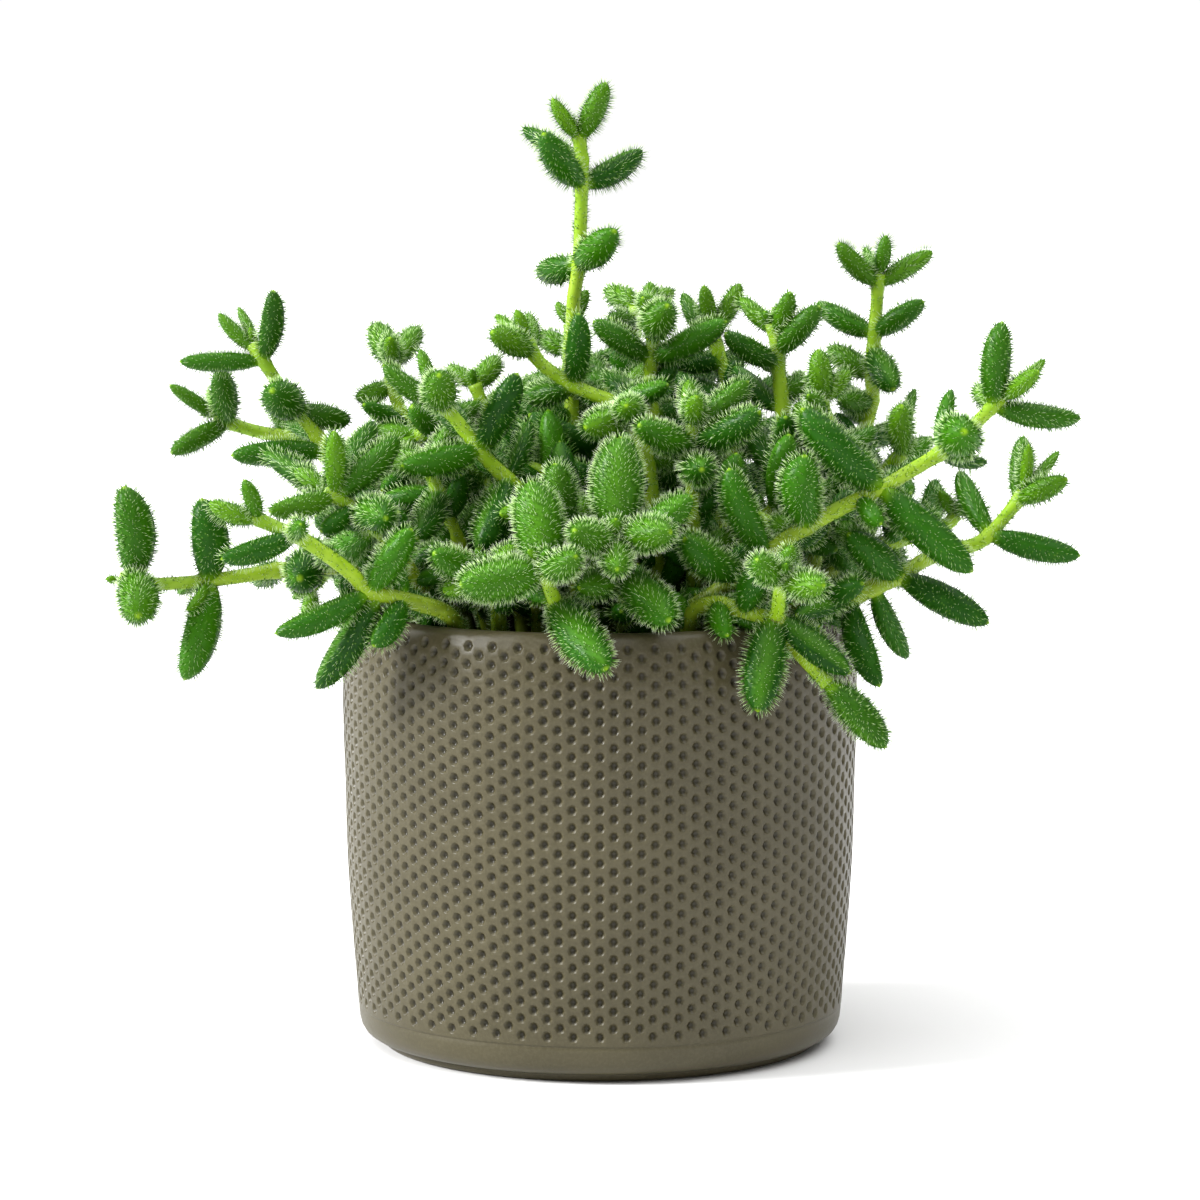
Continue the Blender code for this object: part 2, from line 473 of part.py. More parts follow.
def ruled_leaves(points, draw):
    """Leaves of a hidden stem: crossed pairs up the stem and a small pair at its tip."""
    total = sum((b - a).length for a, b in zip(points[1:], points[2:]))
    pairs = max(2, int(total / PAIR_SPACING))
    leaves = []
    for pair in range(pairs + 1):
        where = 1.7 + (len(points) - 2.7) * pair / pairs
        base, ahead = point_on(points, where)
        side, up = frame_along(ahead, Vector((0.1, 0.2, 1)))
        length, width, lean = TIP_PAIR
        if pair < pairs:
            length, width = draw.uniform(*PAIR_LENGTHS), draw.uniform(*PAIR_WIDTHS)
            lean = draw.uniform(*PAIR_LEANS)
        start = pair * pi / 2 + draw.uniform(-PAIR_TURN, PAIR_TURN)
        for half in (0, pi):
            tips = []
            for turn in TRIED_TURNS:
                out = side * cos(start + half + turn) + up * sin(start + half + turn)
                for bend in TRIED_LEANS:
                    way = ahead * cos(lean + bend) + out * sin(lean + bend)
                    if inside_outline(base + way * length * MM):
                        tips.append(base + way * length * MM)
            leaves.append((where, tips, width * MM))
    return leaves


def grow_all(pot_tree):
    """Every node's routes and leaves, settled so that no two nodes cross."""
    draw = random.Random(SEED)
    routes = []
    stem_trees = {}
    for name, choices, leaves in all_stems():
        others = [t for n, trees in stem_trees.items() if n != name for t in trees]
        for root, points in choices:
            route = points if root is None else settle_stem(root, points, others)
            if route:
                stem_trees.setdefault(name, []).append(tree_of(stem_solid(route)))
                routes.append((name, root, route, leaves))
                break
    leaves_of = {}
    leaf_trees = {}
    for name, root, route, leaves in routes:
        leaves_of.setdefault(name, [])
        if leaves is None:
            wanted = ruled_leaves(route, draw)
        else:
            skip = 0 if root is None else 2
            wanted = [(leaf[0] + skip, drawn_tips(leaf), leaf[4] * MM) for leaf in leaves]
        for where, tips, width in wanted:
            base, ahead = point_on(route, where)
            others = [t for group in (stem_trees, leaf_trees) for n, trees in group.items()
                      if n != name for t in trees]
            sides = next(count for limit, count in LEAF_SIDES if width < limit)
            if leaves is None:
                sides = HIDDEN_LEAF_SIDES
            found = settle_leaf(base, ahead, tips, width, sides, others, pot_tree)
            if found:
                leaf = (base, found[0], found[1], ahead, sides)
                leaf_trees.setdefault(name, []).append(tree_of(leaf_solid(*leaf)))
                leaves_of[name].append(leaf)
    return routes, leaves_of


def new_object(name, solid):
    """Object from corners and faces."""
    mesh = bpy.data.meshes.new(name)
    mesh.from_pydata([tuple(c) for c in solid[0]], [], solid[1])
    mesh.update()
    obj = bpy.data.objects.new(name, mesh)
    bpy.context.scene.collection.objects.link(obj)
    return obj


def boolean_with_group(obj, pieces, operation, solver=SOLVERS[0]):
    """Join the pieces to the object, or cut them from it, and remove them."""
    group = bpy.data.collections.new(obj.name + "_pieces")
    bpy.context.scene.collection.children.link(group)
    for piece in pieces:
        bpy.context.scene.collection.objects.unlink(piece)
        group.objects.link(piece)
    change = obj.modifiers.new("pieces", "BOOLEAN")
    change.operation = operation
    change.solver = solver
    change.operand_type = "COLLECTION"
    change.collection = group
    graph = bpy.context.evaluated_depsgraph_get()
    mesh = bpy.data.meshes.new_from_object(obj.evaluated_get(graph))
    obj.modifiers.clear()
    obj.data = mesh
    for piece in pieces:
        bpy.data.objects.remove(piece, do_unlink=True)
    bpy.data.collections.remove(group)


def keep_outer_skin(obj):
    """Keep the largest shell, without scraps and sealed hollows, and say if it is closed."""
    shape = bmesh.new()
    shape.from_mesh(obj.data)
    bmesh.ops.triangulate(shape, faces=shape.faces[:])
    shape.faces.ensure_lookup_table()
    unseen = set(shape.faces)
    shells = []
    while unseen:
        start = unseen.pop()
        shell = [start]
        queue = [start]
        while queue:
            for edge in queue.pop().edges:
                for face in edge.link_faces:
                    if face in unseen:
                        unseen.remove(face)
                        shell.append(face)
                        queue.append(face)
        volume = sum(f.verts[0].co.dot(f.verts[1].co.cross(f.verts[2].co)) for f in shell)
        shells.append((volume, shell))
    shells.sort(key=lambda pair: pair[0])
    for _, shell in shells[:-1]:
        bmesh.ops.delete(shape, geom=shell, context="FACES")
    loose = [v for v in shape.verts if not v.link_faces]
    bmesh.ops.delete(shape, geom=loose, context="VERTS")
    bmesh.ops.remove_doubles(shape, verts=shape.verts[:], dist=WELD)
    closed = all(edge.is_manifold for edge in shape.edges)
    shape.to_mesh(obj.data)
    shape.free()
    return closed


def paint(obj, colour, roughness):
    """Give a node its own plain material."""
    material = bpy.data.materials.new(obj.name + "_material")
    material.use_nodes = True
    shader = material.node_tree.nodes["Principled BSDF"]
    shader.inputs["Base Color"].default_value = (*colour, 1)
    shader.inputs["Roughness"].default_value = roughness
    obj.data.materials.clear()
    obj.data.materials.append(material)


def build_pot():
    """Turned shell with a foot and a round lip, its dimples as a coarse relief."""
    low, high = POT_FOOT[-1][1] + 1.0, POT_WALL[-1][1]
    wall = []
    for row in range(DIMPLE_ROWS + 1):
        height = low + (high - low) * row / DIMPLE_ROWS
        wall.append((pot_radius(height), height))
    profile = POT_FOOT + tuple(wall) + POT_LIP + POT_INSIDE
    corners, faces = lathe(profile, POT_COLUMNS)
    first = len(POT_FOOT) * POT_COLUMNS
    pushed = set()
    for row in range(1, DIMPLE_ROWS):
        for k in range(row % 2, POT_COLUMNS, 2):
            pushed.add(first + row * POT_COLUMNS + k)
    for index in pushed:
        corners[index].xy = corners[index].xy * (1 - DIMPLE_DEPTH / corners[index].xy.length)
    split = []
    for face in faces:
        turned = face if face[0] in pushed or face[2 % len(face)] in pushed else face[1:] + face[:1]
        if len(face) == 4 and pushed.intersection(face):
            split += [[turned[0], turned[1], turned[3]], [turned[2], turned[3], turned[1]]]
        else:
            split.append(face)
    pot = new_object("pot", (corners, split))
    paint(pot, (0.21, 0.185, 0.13), 0.5)


def build_soil(routes):
    """Plug of soil with an uneven top and a plain hole for every stem."""
    gap = CLEARANCE / MM
    profile = [(radius - gap, height + gap) for radius, height in reversed(POT_INSIDE)]
    (low_radius, low), (high_radius, high) = POT_INSIDE[0], POT_LIP[-1]
    share = (SOIL_TOP / MM - low) / (high - low)
    profile.append((low_radius + (high_radius - low_radius) * share - gap, SOIL_TOP / MM))
    profile += [(radius, SOIL_TOP / MM) for radius in SOIL_RINGS]
    corners, faces = lathe(profile, SOIL_COLUMNS)
    draw = random.Random(SEED)
    for corner in corners[-len(SOIL_RINGS) * SOIL_COLUMNS:]:
        corner.z += draw.uniform(-1, 1) * SOIL_RELIEF
    soil = new_object("soil", (corners, faces))
    cutters = []
    for name, root, route, leaves in routes:
        if root is not None:
            foot = route[0]
            ring = []
            for height in (SOIL_TOP - HOLE_DEPTH, SOIL_TOP + HOLE_HEADROOM):
                for k in range(HOLE_SIDES):
                    turn = 2 * pi * k / HOLE_SIDES
                    ring.append(Vector((foot.x + HOLE_RADIUS * cos(turn),
                                        foot.y + HOLE_RADIUS * sin(turn), height)))
            cutters.append(new_object("hole_cutter", (ring, ring_faces(2, HOLE_SIDES, True))))
    boolean_with_group(soil, cutters, "DIFFERENCE")
    paint(soil, (0.02, 0.014, 0.009), 0.95)


def fused_stem(name, stems, leaves, spin, solver):
    """One node: its stems and leaves joined, and whether the result is closed."""
    stem = new_object(name, stems[0])
    pieces = [new_object(name + "_branch", solid) for solid in stems[1:]]
    for leaf in leaves:
        pieces.append(new_object(name + "_leaf", leaf_solid(*leaf, spin=spin)))
    boolean_with_group(stem, pieces, "UNION", solver)
    return stem, keep_outer_skin(stem)


def build_plant():
    """Every leafy stem as one solid of its own, tried with other spins until it is closed."""
    shell = lathe(POT_FOOT + POT_WALL + POT_LIP + POT_INSIDE, POT_COLUMNS)
    routes, leaves_of = grow_all(tree_of(shell))
    for name, leaves in leaves_of.items():
        stems = [stem_solid(route) for owner, root, route, asked in routes if owner == name]
        closed = False
        for solver in SOLVERS:
            for spin in LEAF_SPINS:
                if not closed:
                    if name in bpy.data.objects:
                        bpy.data.objects.remove(bpy.data.objects[name], do_unlink=True)
                    stem, closed = fused_stem(name, stems, leaves, spin, solver)
        paint(stem, (0.08, 0.20, 0.02), 0.45)
    return routes


build_pot()
build_soil(build_plant())
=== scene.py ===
import random
from math import cos, hypot, pi, radians, sin

import bmesh
import bpy
import numpy as np
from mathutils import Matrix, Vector, noise
from mathutils.bvhtree import BVHTree


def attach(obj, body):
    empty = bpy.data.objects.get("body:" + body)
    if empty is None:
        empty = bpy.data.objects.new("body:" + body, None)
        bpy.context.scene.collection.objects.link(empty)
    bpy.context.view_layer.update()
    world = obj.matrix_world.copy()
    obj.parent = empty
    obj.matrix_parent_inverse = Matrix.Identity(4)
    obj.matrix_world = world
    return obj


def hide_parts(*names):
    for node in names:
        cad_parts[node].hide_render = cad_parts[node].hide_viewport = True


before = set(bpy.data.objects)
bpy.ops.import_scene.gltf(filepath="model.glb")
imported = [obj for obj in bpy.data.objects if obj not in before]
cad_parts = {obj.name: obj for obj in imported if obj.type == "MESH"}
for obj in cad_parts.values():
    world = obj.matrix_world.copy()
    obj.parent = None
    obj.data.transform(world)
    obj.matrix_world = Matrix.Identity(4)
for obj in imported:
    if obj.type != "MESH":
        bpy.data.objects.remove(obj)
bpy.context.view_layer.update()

# The pot: a cast shell of fired clay with a matte olive-taupe coat. Its wall is covered with staggered
# rows of small round dimples from the mould, between a plain band at the foot and a rounded lip.
MM = 0.001
DIMPLE_COLUMNS = 120
DIMPLES_UP = 23
DIMPLE_BAND = (8.1, 87.8)
DIMPLE_RIM, DIMPLE_EDGE, DIMPLE_FLOOR = 1.22, 1.06, 0.66
DIMPLE_DEPTH = 0.92
EDGE_DROP, SIDE_DROP, MIDDLE_DROP = 0.13, 0.62, 0.25
TILE_INSET = 0.3
WALL_MEAN_RADIUS = 52.0
SEAM = 0.01 * MM
WALL = ((8.1, 49.6), (11.6, 49.8), (19.9, 50.5), (28.2, 51.1), (36.4, 51.6), (44.8, 51.9), (53.0, 52.0),
        (61.4, 52.3), (70.5, 52.5), (79.0, 52.3), (84.5, 51.6), (87.2, 50.9), (87.8, 50.55))
FOOT_AND_BAND = ((0.0, 0.0), (43.8, 0.0), (44.6, 0.25), (45.0, 0.8), (45.1, 1.5), (45.9, 1.75), (47.2, 2.1),
                 (48.3, 2.9), (48.95, 4.0), (49.3, 5.3), (49.45, 6.7), (49.47, 7.3), (49.32, 7.6),
                 (49.38, 7.85), (49.52, 8.0))
RIM_AND_INSIDE = ((50.2, 88.3), (49.7, 88.7), (49.1, 88.92), (48.5, 89.0), (48.0, 88.85), (47.6, 88.4),
                  (47.4, 87.6), (47.2, 84.0), (46.9, 76.0), (45.2, 8.0), (42.0, 5.0), (0.0, 5.0))


def wall_radius(height):
    """Outside radius of the dimpled wall at a height, in millimetres."""
    heights, radii = zip(*WALL)
    return np.interp(height, heights, radii)


def new_mesh_object(name, points, faces, edges=()):
    """An object at the origin from points in metres and faces, or edges alone."""
    mesh = bpy.data.meshes.new(name)
    mesh.from_pydata([tuple(p) for p in points], edges, [tuple(f) for f in faces])
    mesh.update()
    made = bpy.data.objects.new(name, mesh)
    bpy.context.scene.collection.objects.link(made)
    return made


def edit_alone(thing):
    """Select this object alone and open all of it in edit mode."""
    bpy.ops.object.select_all(action="DESELECT")
    thing.select_set(True)
    bpy.context.view_layer.objects.active = thing
    bpy.ops.object.mode_set(mode="EDIT")
    bpy.ops.mesh.select_all(action="SELECT")


def new_turning(name, outline, steps):
    """An object spun about the upright axis from its radii and heights in millimetres."""
    edges = [(i, i + 1) for i in range(len(outline) - 1)]
    turned = new_mesh_object(name, [(r * MM, 0, z * MM) for r, z in outline], [], edges)
    edit_alone(turned)
    bpy.ops.mesh.spin(steps=steps, angle=2 * pi, center=(0, 0, 0), axis=(0, 0, 1))
    bpy.ops.object.mode_set(mode="OBJECT")
    return turned


def close_seams(thing):
    """Merge an object's doubled points and turn all its faces outward."""
    edit_alone(thing)
    bpy.ops.mesh.remove_doubles(threshold=SEAM)
    bpy.ops.mesh.normals_make_consistent(inside=False)
    bpy.ops.object.mode_set(mode="OBJECT")


# One dimple in its tile of wall, drawn flat in millimetres: the grid's middle corner is dissolved, and
# the one face that is left is inset, rounded and pressed in.
tile_wide = 2 * pi * WALL_MEAN_RADIUS / DIMPLE_COLUMNS
tile_high = (DIMPLE_BAND[1] - DIMPLE_BAND[0]) / DIMPLES_UP
bpy.ops.object.select_all(action="DESELECT")
bpy.ops.mesh.primitive_grid_add(x_subdivisions=2, y_subdivisions=2, size=1)
tile = bpy.context.object
edit_alone(tile)
bpy.ops.transform.resize(value=(tile_wide, tile_high, 1))
bpy.ops.mesh.select_mode(type="VERT")
shape = bmesh.from_edit_mesh(tile.data)
for corner in shape.verts:
    corner.select = corner.co.length < SEAM
shape.select_flush(False)
bpy.ops.mesh.dissolve_verts()
bpy.ops.mesh.select_mode(type="FACE")
bpy.ops.mesh.select_all(action="SELECT")
bpy.ops.mesh.inset(thickness=TILE_INSET)
bpy.ops.transform.tosphere(value=1)
shape = bmesh.from_edit_mesh(tile.data)
round_now = max(v.co.xy.length for v in shape.verts if v.select)
bpy.ops.transform.resize(value=(DIMPLE_RIM / round_now, DIMPLE_RIM / round_now, 1))
bpy.ops.mesh.inset(thickness=DIMPLE_RIM - DIMPLE_EDGE, depth=-EDGE_DROP * DIMPLE_DEPTH)
bpy.ops.mesh.inset(thickness=DIMPLE_EDGE - DIMPLE_FLOOR, depth=-SIDE_DROP * DIMPLE_DEPTH)
bpy.ops.mesh.poke(offset=-MIDDLE_DROP * DIMPLE_DEPTH)
bpy.ops.object.mode_set(mode="OBJECT")
tile_points = np.array([v.co for v in tile.data.vertices])
tile_faces = [list(f.vertices) for f in tile.data.polygons]
bpy.data.objects.remove(tile, do_unlink=True)

# The tiles go round and up the wall. Every second column stands half a tile higher, and plain half
# tiles fill its ends.
half_points = np.array([(x, y, 0) for y in (-0.25, 0.25) for x in (-0.5, 0, 0.5)])
half_points *= (tile_wide, tile_high, 1)
half_faces = [[0, 1, 4, 3], [1, 2, 5, 4]]
flat_points, flat_faces, used = [], [], 0
for column in range(DIMPLE_COLUMNS):
    raised = column % 2
    laid = [(tile_points, tile_faces, row + 0.5 + 0.5 * raised) for row in range(DIMPLES_UP - raised)]
    if raised:
        laid += [(half_points, half_faces, 0.25), (half_points, half_faces, DIMPLES_UP - 0.25)]
    for points, faces, up in laid:
        flat_points.append(points + (column * tile_wide, up * tile_high, 0))
        flat_faces += [[used + i for i in face] for face in faces]
        used += len(points)
flat_points = np.vstack(flat_points)
turn = flat_points[:, 0] / tile_wide * 2 * pi / DIMPLE_COLUMNS
height = DIMPLE_BAND[0] + flat_points[:, 1]
radius = wall_radius(height) + flat_points[:, 2]
wall_points = np.column_stack((radius * np.cos(turn), radius * np.sin(turn), height)) * MM
pot = new_mesh_object("dimpled_pot", wall_points, flat_faces)
# Each point's share of its dimple's depth, which steers the painted shade in the dimples.
dimple_shade_depth = pot.data.attributes.new("dimple_shade_depth", "FLOAT", "POINT")
dimple_shade_depth.data.foreach_set("value", (-flat_points[:, 2] / DIMPLE_DEPTH).astype(np.float32))

# The foot, the lip and the inside are spun from their outlines, and merge with the wall's edges.
foot_edge, lip_edge = ((float(wall_radius(height)), height) for height in DIMPLE_BAND)
for name, outline in (("foot", (*FOOT_AND_BAND, foot_edge)), ("lip", (lip_edge, *RIM_AND_INSIDE))):
    turned = new_turning(name, outline, 2 * DIMPLE_COLUMNS)
    turned.select_set(True)
    pot.select_set(True)
    bpy.context.view_layer.objects.active = pot
    bpy.ops.object.join()
close_seams(pot)

# The flat skin between the dimples shades as flat, so the dimples' edges stay crisp.
bpy.ops.object.shade_smooth_by_angle(angle=radians(60))
bpy.ops.object.modifier_add(type="WEIGHTED_NORMAL")
pot.modifiers[0].keep_sharp = True
bpy.ops.object.modifier_apply(modifier=pot.modifiers[0].name)


class Wiring:
    """Makes and joins the nodes of one material, or of the sky."""

    def __init__(self, tree):
        self.tree = tree

    def add(self, kind, values=(), **settings):
        """A node with its values, each a plain value or another node's outlet."""
        node = self.tree.nodes.new("ShaderNode" + kind)
        for name, value in settings.items():
            setattr(node, name, value)
        for name, value in dict(values).items():
            socket = node.inputs[name]
            if isinstance(value, bpy.types.NodeSocket):
                self.tree.links.new(value, socket)
            else:
                socket.default_value = value
        return node

    def ramp(self, factor, stops):
        """A colour ramp's colour from stops of place and colour."""
        node = self.add("ValToRGB", {"Fac": factor})
        while len(node.color_ramp.elements) < len(stops):
            node.color_ramp.elements.new(0.5)
        for element, (where, colour) in zip(node.color_ramp.elements, stops):
            element.position = where
            element.color = (*colour, 1)
        return node.outputs["Color"]

    def span(self, value, low, high, to_low=0.0, to_high=1.0):
        """A value carried smoothly from one range to another."""
        node = self.add("MapRange", {"Value": value, "From Min": low, "From Max": high,
                                     "To Min": to_low, "To Max": to_high}, interpolation_type="SMOOTHSTEP")
        return node.outputs["Result"]

    def blend(self, factor, first, second):
        """Two colours mixed."""
        node = self.add("Mix", data_type="RGBA")
        for index, value in ((0, factor), (6, first), (7, second)):
            if isinstance(value, bpy.types.NodeSocket):
                self.tree.links.new(value, node.inputs[index])
            else:
                node.inputs[index].default_value = value if index == 0 else (*value, 1)
        return node.outputs[2]

    def read(self, name):
        """A number that the mesh carries at each point."""
        return self.add("Attribute", attribute_name=name).outputs["Fac"]

    def noise(self, place, scale, detail, roughness):
        """Cloudy noise on the piece."""
        values = {"Vector": place, "Scale": scale, "Detail": detail, "Roughness": roughness}
        return self.add("TexNoise", values).outputs["Fac"]

    def feed(self, shader, name, value):
        """Lead a value into one of the shader's sockets."""
        self.tree.links.new(value, shader.inputs[name])

    def bump(self, shader, height, strength, distance):
        """Fine relief that the light alone shows."""
        relief = self.add("Bump", {"Height": height, "Strength": strength, "Distance": distance})
        self.feed(shader, "Normal", relief.outputs[0])


def new_finish(name, roughness):
    """A material with its wiring, its shader and the place on the piece."""
    material = bpy.data.materials.new(name)
    material.use_nodes = True
    material.node_tree.nodes.clear()
    wiring = Wiring(material.node_tree)
    shader = wiring.add("BsdfPrincipled", {"Roughness": roughness})
    wiring.add("OutputMaterial", {"Surface": shader.outputs[0]})
    return material, wiring, shader, wiring.add("TexCoord").outputs["Object"]


# The coat: an even olive taupe with faint clouds and a fine grain; painted shade darkens it down in the
# dimples.
pot_finish, wiring, shader, place_on = new_finish("olive_taupe_coat", 0.5)
shader.inputs["Specular IOR Level"].default_value = 0.3
clouds = wiring.noise(place_on, 34, 3, 0.6)
grain = wiring.noise(place_on, 1500, 2, 0.7)
coat = wiring.ramp(clouds, ((0.3, (0.046, 0.039, 0.018)), (0.7, (0.063, 0.054, 0.026))))
coat = wiring.blend(wiring.span(grain, 0.35, 0.75, 0.0, 0.3), coat, (0.102, 0.090, 0.052))
# Painted shade: the coat is darkened to near black towards the floor of each dimple.
coat = wiring.blend(wiring.span(wiring.read("dimple_shade_depth"), 0.42, 0.9, 0.0, 0.62), coat, (0.007, 0.006, 0.003))
wiring.feed(shader, "Base Color", coat)
wiring.feed(shader, "Roughness", wiring.span(grain, 0.2, 0.8, 0.35, 0.46))
wiring.bump(shader, grain, 0.12, 0.12 * MM)
pot.data.materials.clear()
pot.data.materials.append(pot_finish)
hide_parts("pot")
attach(pot, "root")

# The soil: dark potting mix of peat, bark crumbs and grit that fills the pot to 8 mm under the lip.
# Its top is heaped unevenly, and crumbs lie on it half sunk.
SOIL_TOP_MM = 81.0
SOIL_SIDE = ((0.0, 5.4), (41.6, 5.4), (44.8, 8.4), (46.55, 76.0), (46.65, 80.0))
SOIL_RADIUS = 46.6
SOIL_RINGS = 22
HEAPS_PER_M, CLODS_PER_M = 90, 420
CRUMBS = 900
CRUMB_REACH = 45.2
CRUMB_SEED = 3
draw = random.Random(CRUMB_SEED)
top = [(SOIL_RADIUS * (1 - k / SOIL_RINGS), SOIL_TOP_MM) for k in range(1, SOIL_RINGS + 1)]
potting_mix = new_turning("potting_mix", list(SOIL_SIDE) + top, 96)
close_seams(potting_mix)
for corner in potting_mix.data.vertices:
    if corner.co.z > (SOIL_TOP_MM - 0.5) * MM:
        lump = noise.noise(corner.co * HEAPS_PER_M) + 0.6 * noise.noise(corner.co * CLODS_PER_M)
        corner.co.z += lump * MM
bpy.ops.object.select_all(action="DESELECT")
bpy.ops.mesh.primitive_ico_sphere_add(subdivisions=1, radius=1)
crumb = bpy.context.object
crumb_points = np.array([v.co for v in crumb.data.vertices])
crumb_faces = [list(f.vertices) for f in crumb.data.polygons]
bpy.data.objects.remove(crumb, do_unlink=True)
points, faces = [], []
for index in range(CRUMBS):
    size = np.array([draw.uniform(0.35, 1.3), draw.uniform(0.35, 1.0), draw.uniform(0.25, 0.7)])
    spin, lie = draw.uniform(0, 2 * pi), draw.uniform(-0.5, 0.5)
    about = np.array(((cos(spin), -sin(spin), 0), (sin(spin), cos(spin), 0), (0, 0, 1)))
    tip = np.array(((cos(lie), 0, -sin(lie)), (0, 1, 0), (sin(lie), 0, cos(lie))))
    where, far = draw.uniform(0, 2 * pi), CRUMB_REACH * draw.random() ** 0.5
    rough = np.array([[draw.uniform(0.75, 1.2)] for _ in crumb_points])
    middle = (far * cos(where), far * sin(where), SOIL_TOP_MM + draw.uniform(-0.2, 0.7))
    points.append((crumb_points * rough * size @ tip.T @ about.T + middle) * MM)
    faces += [[index * len(crumb_points) + i for i in face] for face in crumb_faces]
crumbs = new_mesh_object("soil_crumbs", np.vstack(points), faces)
soil_finish, wiring, shader, place_on = new_finish("potting_soil", 0.95)
lumps = wiring.noise(place_on, 420, 6, 0.7)
bits = wiring.add("TexVoronoi", {"Vector": place_on, "Scale": 620}).outputs["Color"]
earth = wiring.ramp(lumps, ((0.3, (0.006, 0.004, 0.0025)), (0.6, (0.03, 0.019, 0.011)),
                            (0.8, (0.07, 0.045, 0.026))))
earth = wiring.blend(wiring.span(bits, 0.72, 0.8, 0.0, 0.6), earth, (0.13, 0.095, 0.06))
wiring.feed(shader, "Base Color", earth)
wiring.bump(shader, lumps, 0.8, 0.8 * MM)
for piece in (potting_mix, crumbs):
    piece.data.materials.clear()
    piece.data.materials.append(soil_finish)
    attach(piece, "root")
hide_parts("soil")

# The stems' places: soft green stems root in the soil, arch out over the lip and carry crossed pairs
# of leaves. The routes and leaf tips are where the photograph shows them, in millimetres.
CLEARANCE = 0.3 * MM
PLAIN_FOOT = ((44.6, 0.0), (45.2, 1.5), (47.0, 1.7), (49.3, 4.2), (49.6, 7.8))
PLAIN_LIP = ((49.9, 88.7), (48.4, 89.0), (47.4, 87.6), (45.2, 8.0), (42.0, 5.0))
PLAIN_COLUMNS = 32
NEAR_WALL = 48 * MM
SOIL_TOP = SOIL_TOP_MM * MM
SOIL_RELIEF = 0.9 * MM
ROOT_DEPTH = 7 * MM
STEM_OUT = 3.2 * MM
ROOT_LIMIT = 43.0
ROOT_SHIFTS = (0.0, 3.0, 5.0, 7.5, 10.0, 13.0)
ROOT_WAYS = 8
HIDDEN_TURNS = (0, 7, -7, 14, -14, 21, -21)
DEPTH_SHIFTS = (0, -2, 2, -4, 4, -6, 6, -8, 8, -11, 11, -14, 14)
LEAF_SHRINKS = (1.0, 0.86, 0.72)
STEM_SIDES = 4
STEM_FOOT_RADIUS = 1.9 * MM
STEM_TIP_RADIUS = 1.35 * MM
STRAIGHT = radians(7)
LEAF_RINGS = ((0.27, 0.98), (0.82, 0.88))
LEAF_SINK = 0.6 * MM
UPPER_FACE = 0.82
LOWER_FACE = 1.04
LEAF_SIDES = ((3.6 * MM, 4), (7.6 * MM, 5), (1.0, 6))
HIDDEN_LEAF_SIDES = 4
PLUMP = 1.12
EYE = Vector((0.0, -0.900, 0.186))
PITCH = radians(6.07)
CENTRE = Vector((0.0, 0.0, 0.0903))
DRAWING_UP = Vector((0.0, sin(PITCH), cos(PITCH)))
UP_HINT = Vector((0.1, 0.2, 1))
STEM_HINT = Vector((0.2, 0.9, 0.4))
ODD_HINT = (0.31, 0.83, 0.47)

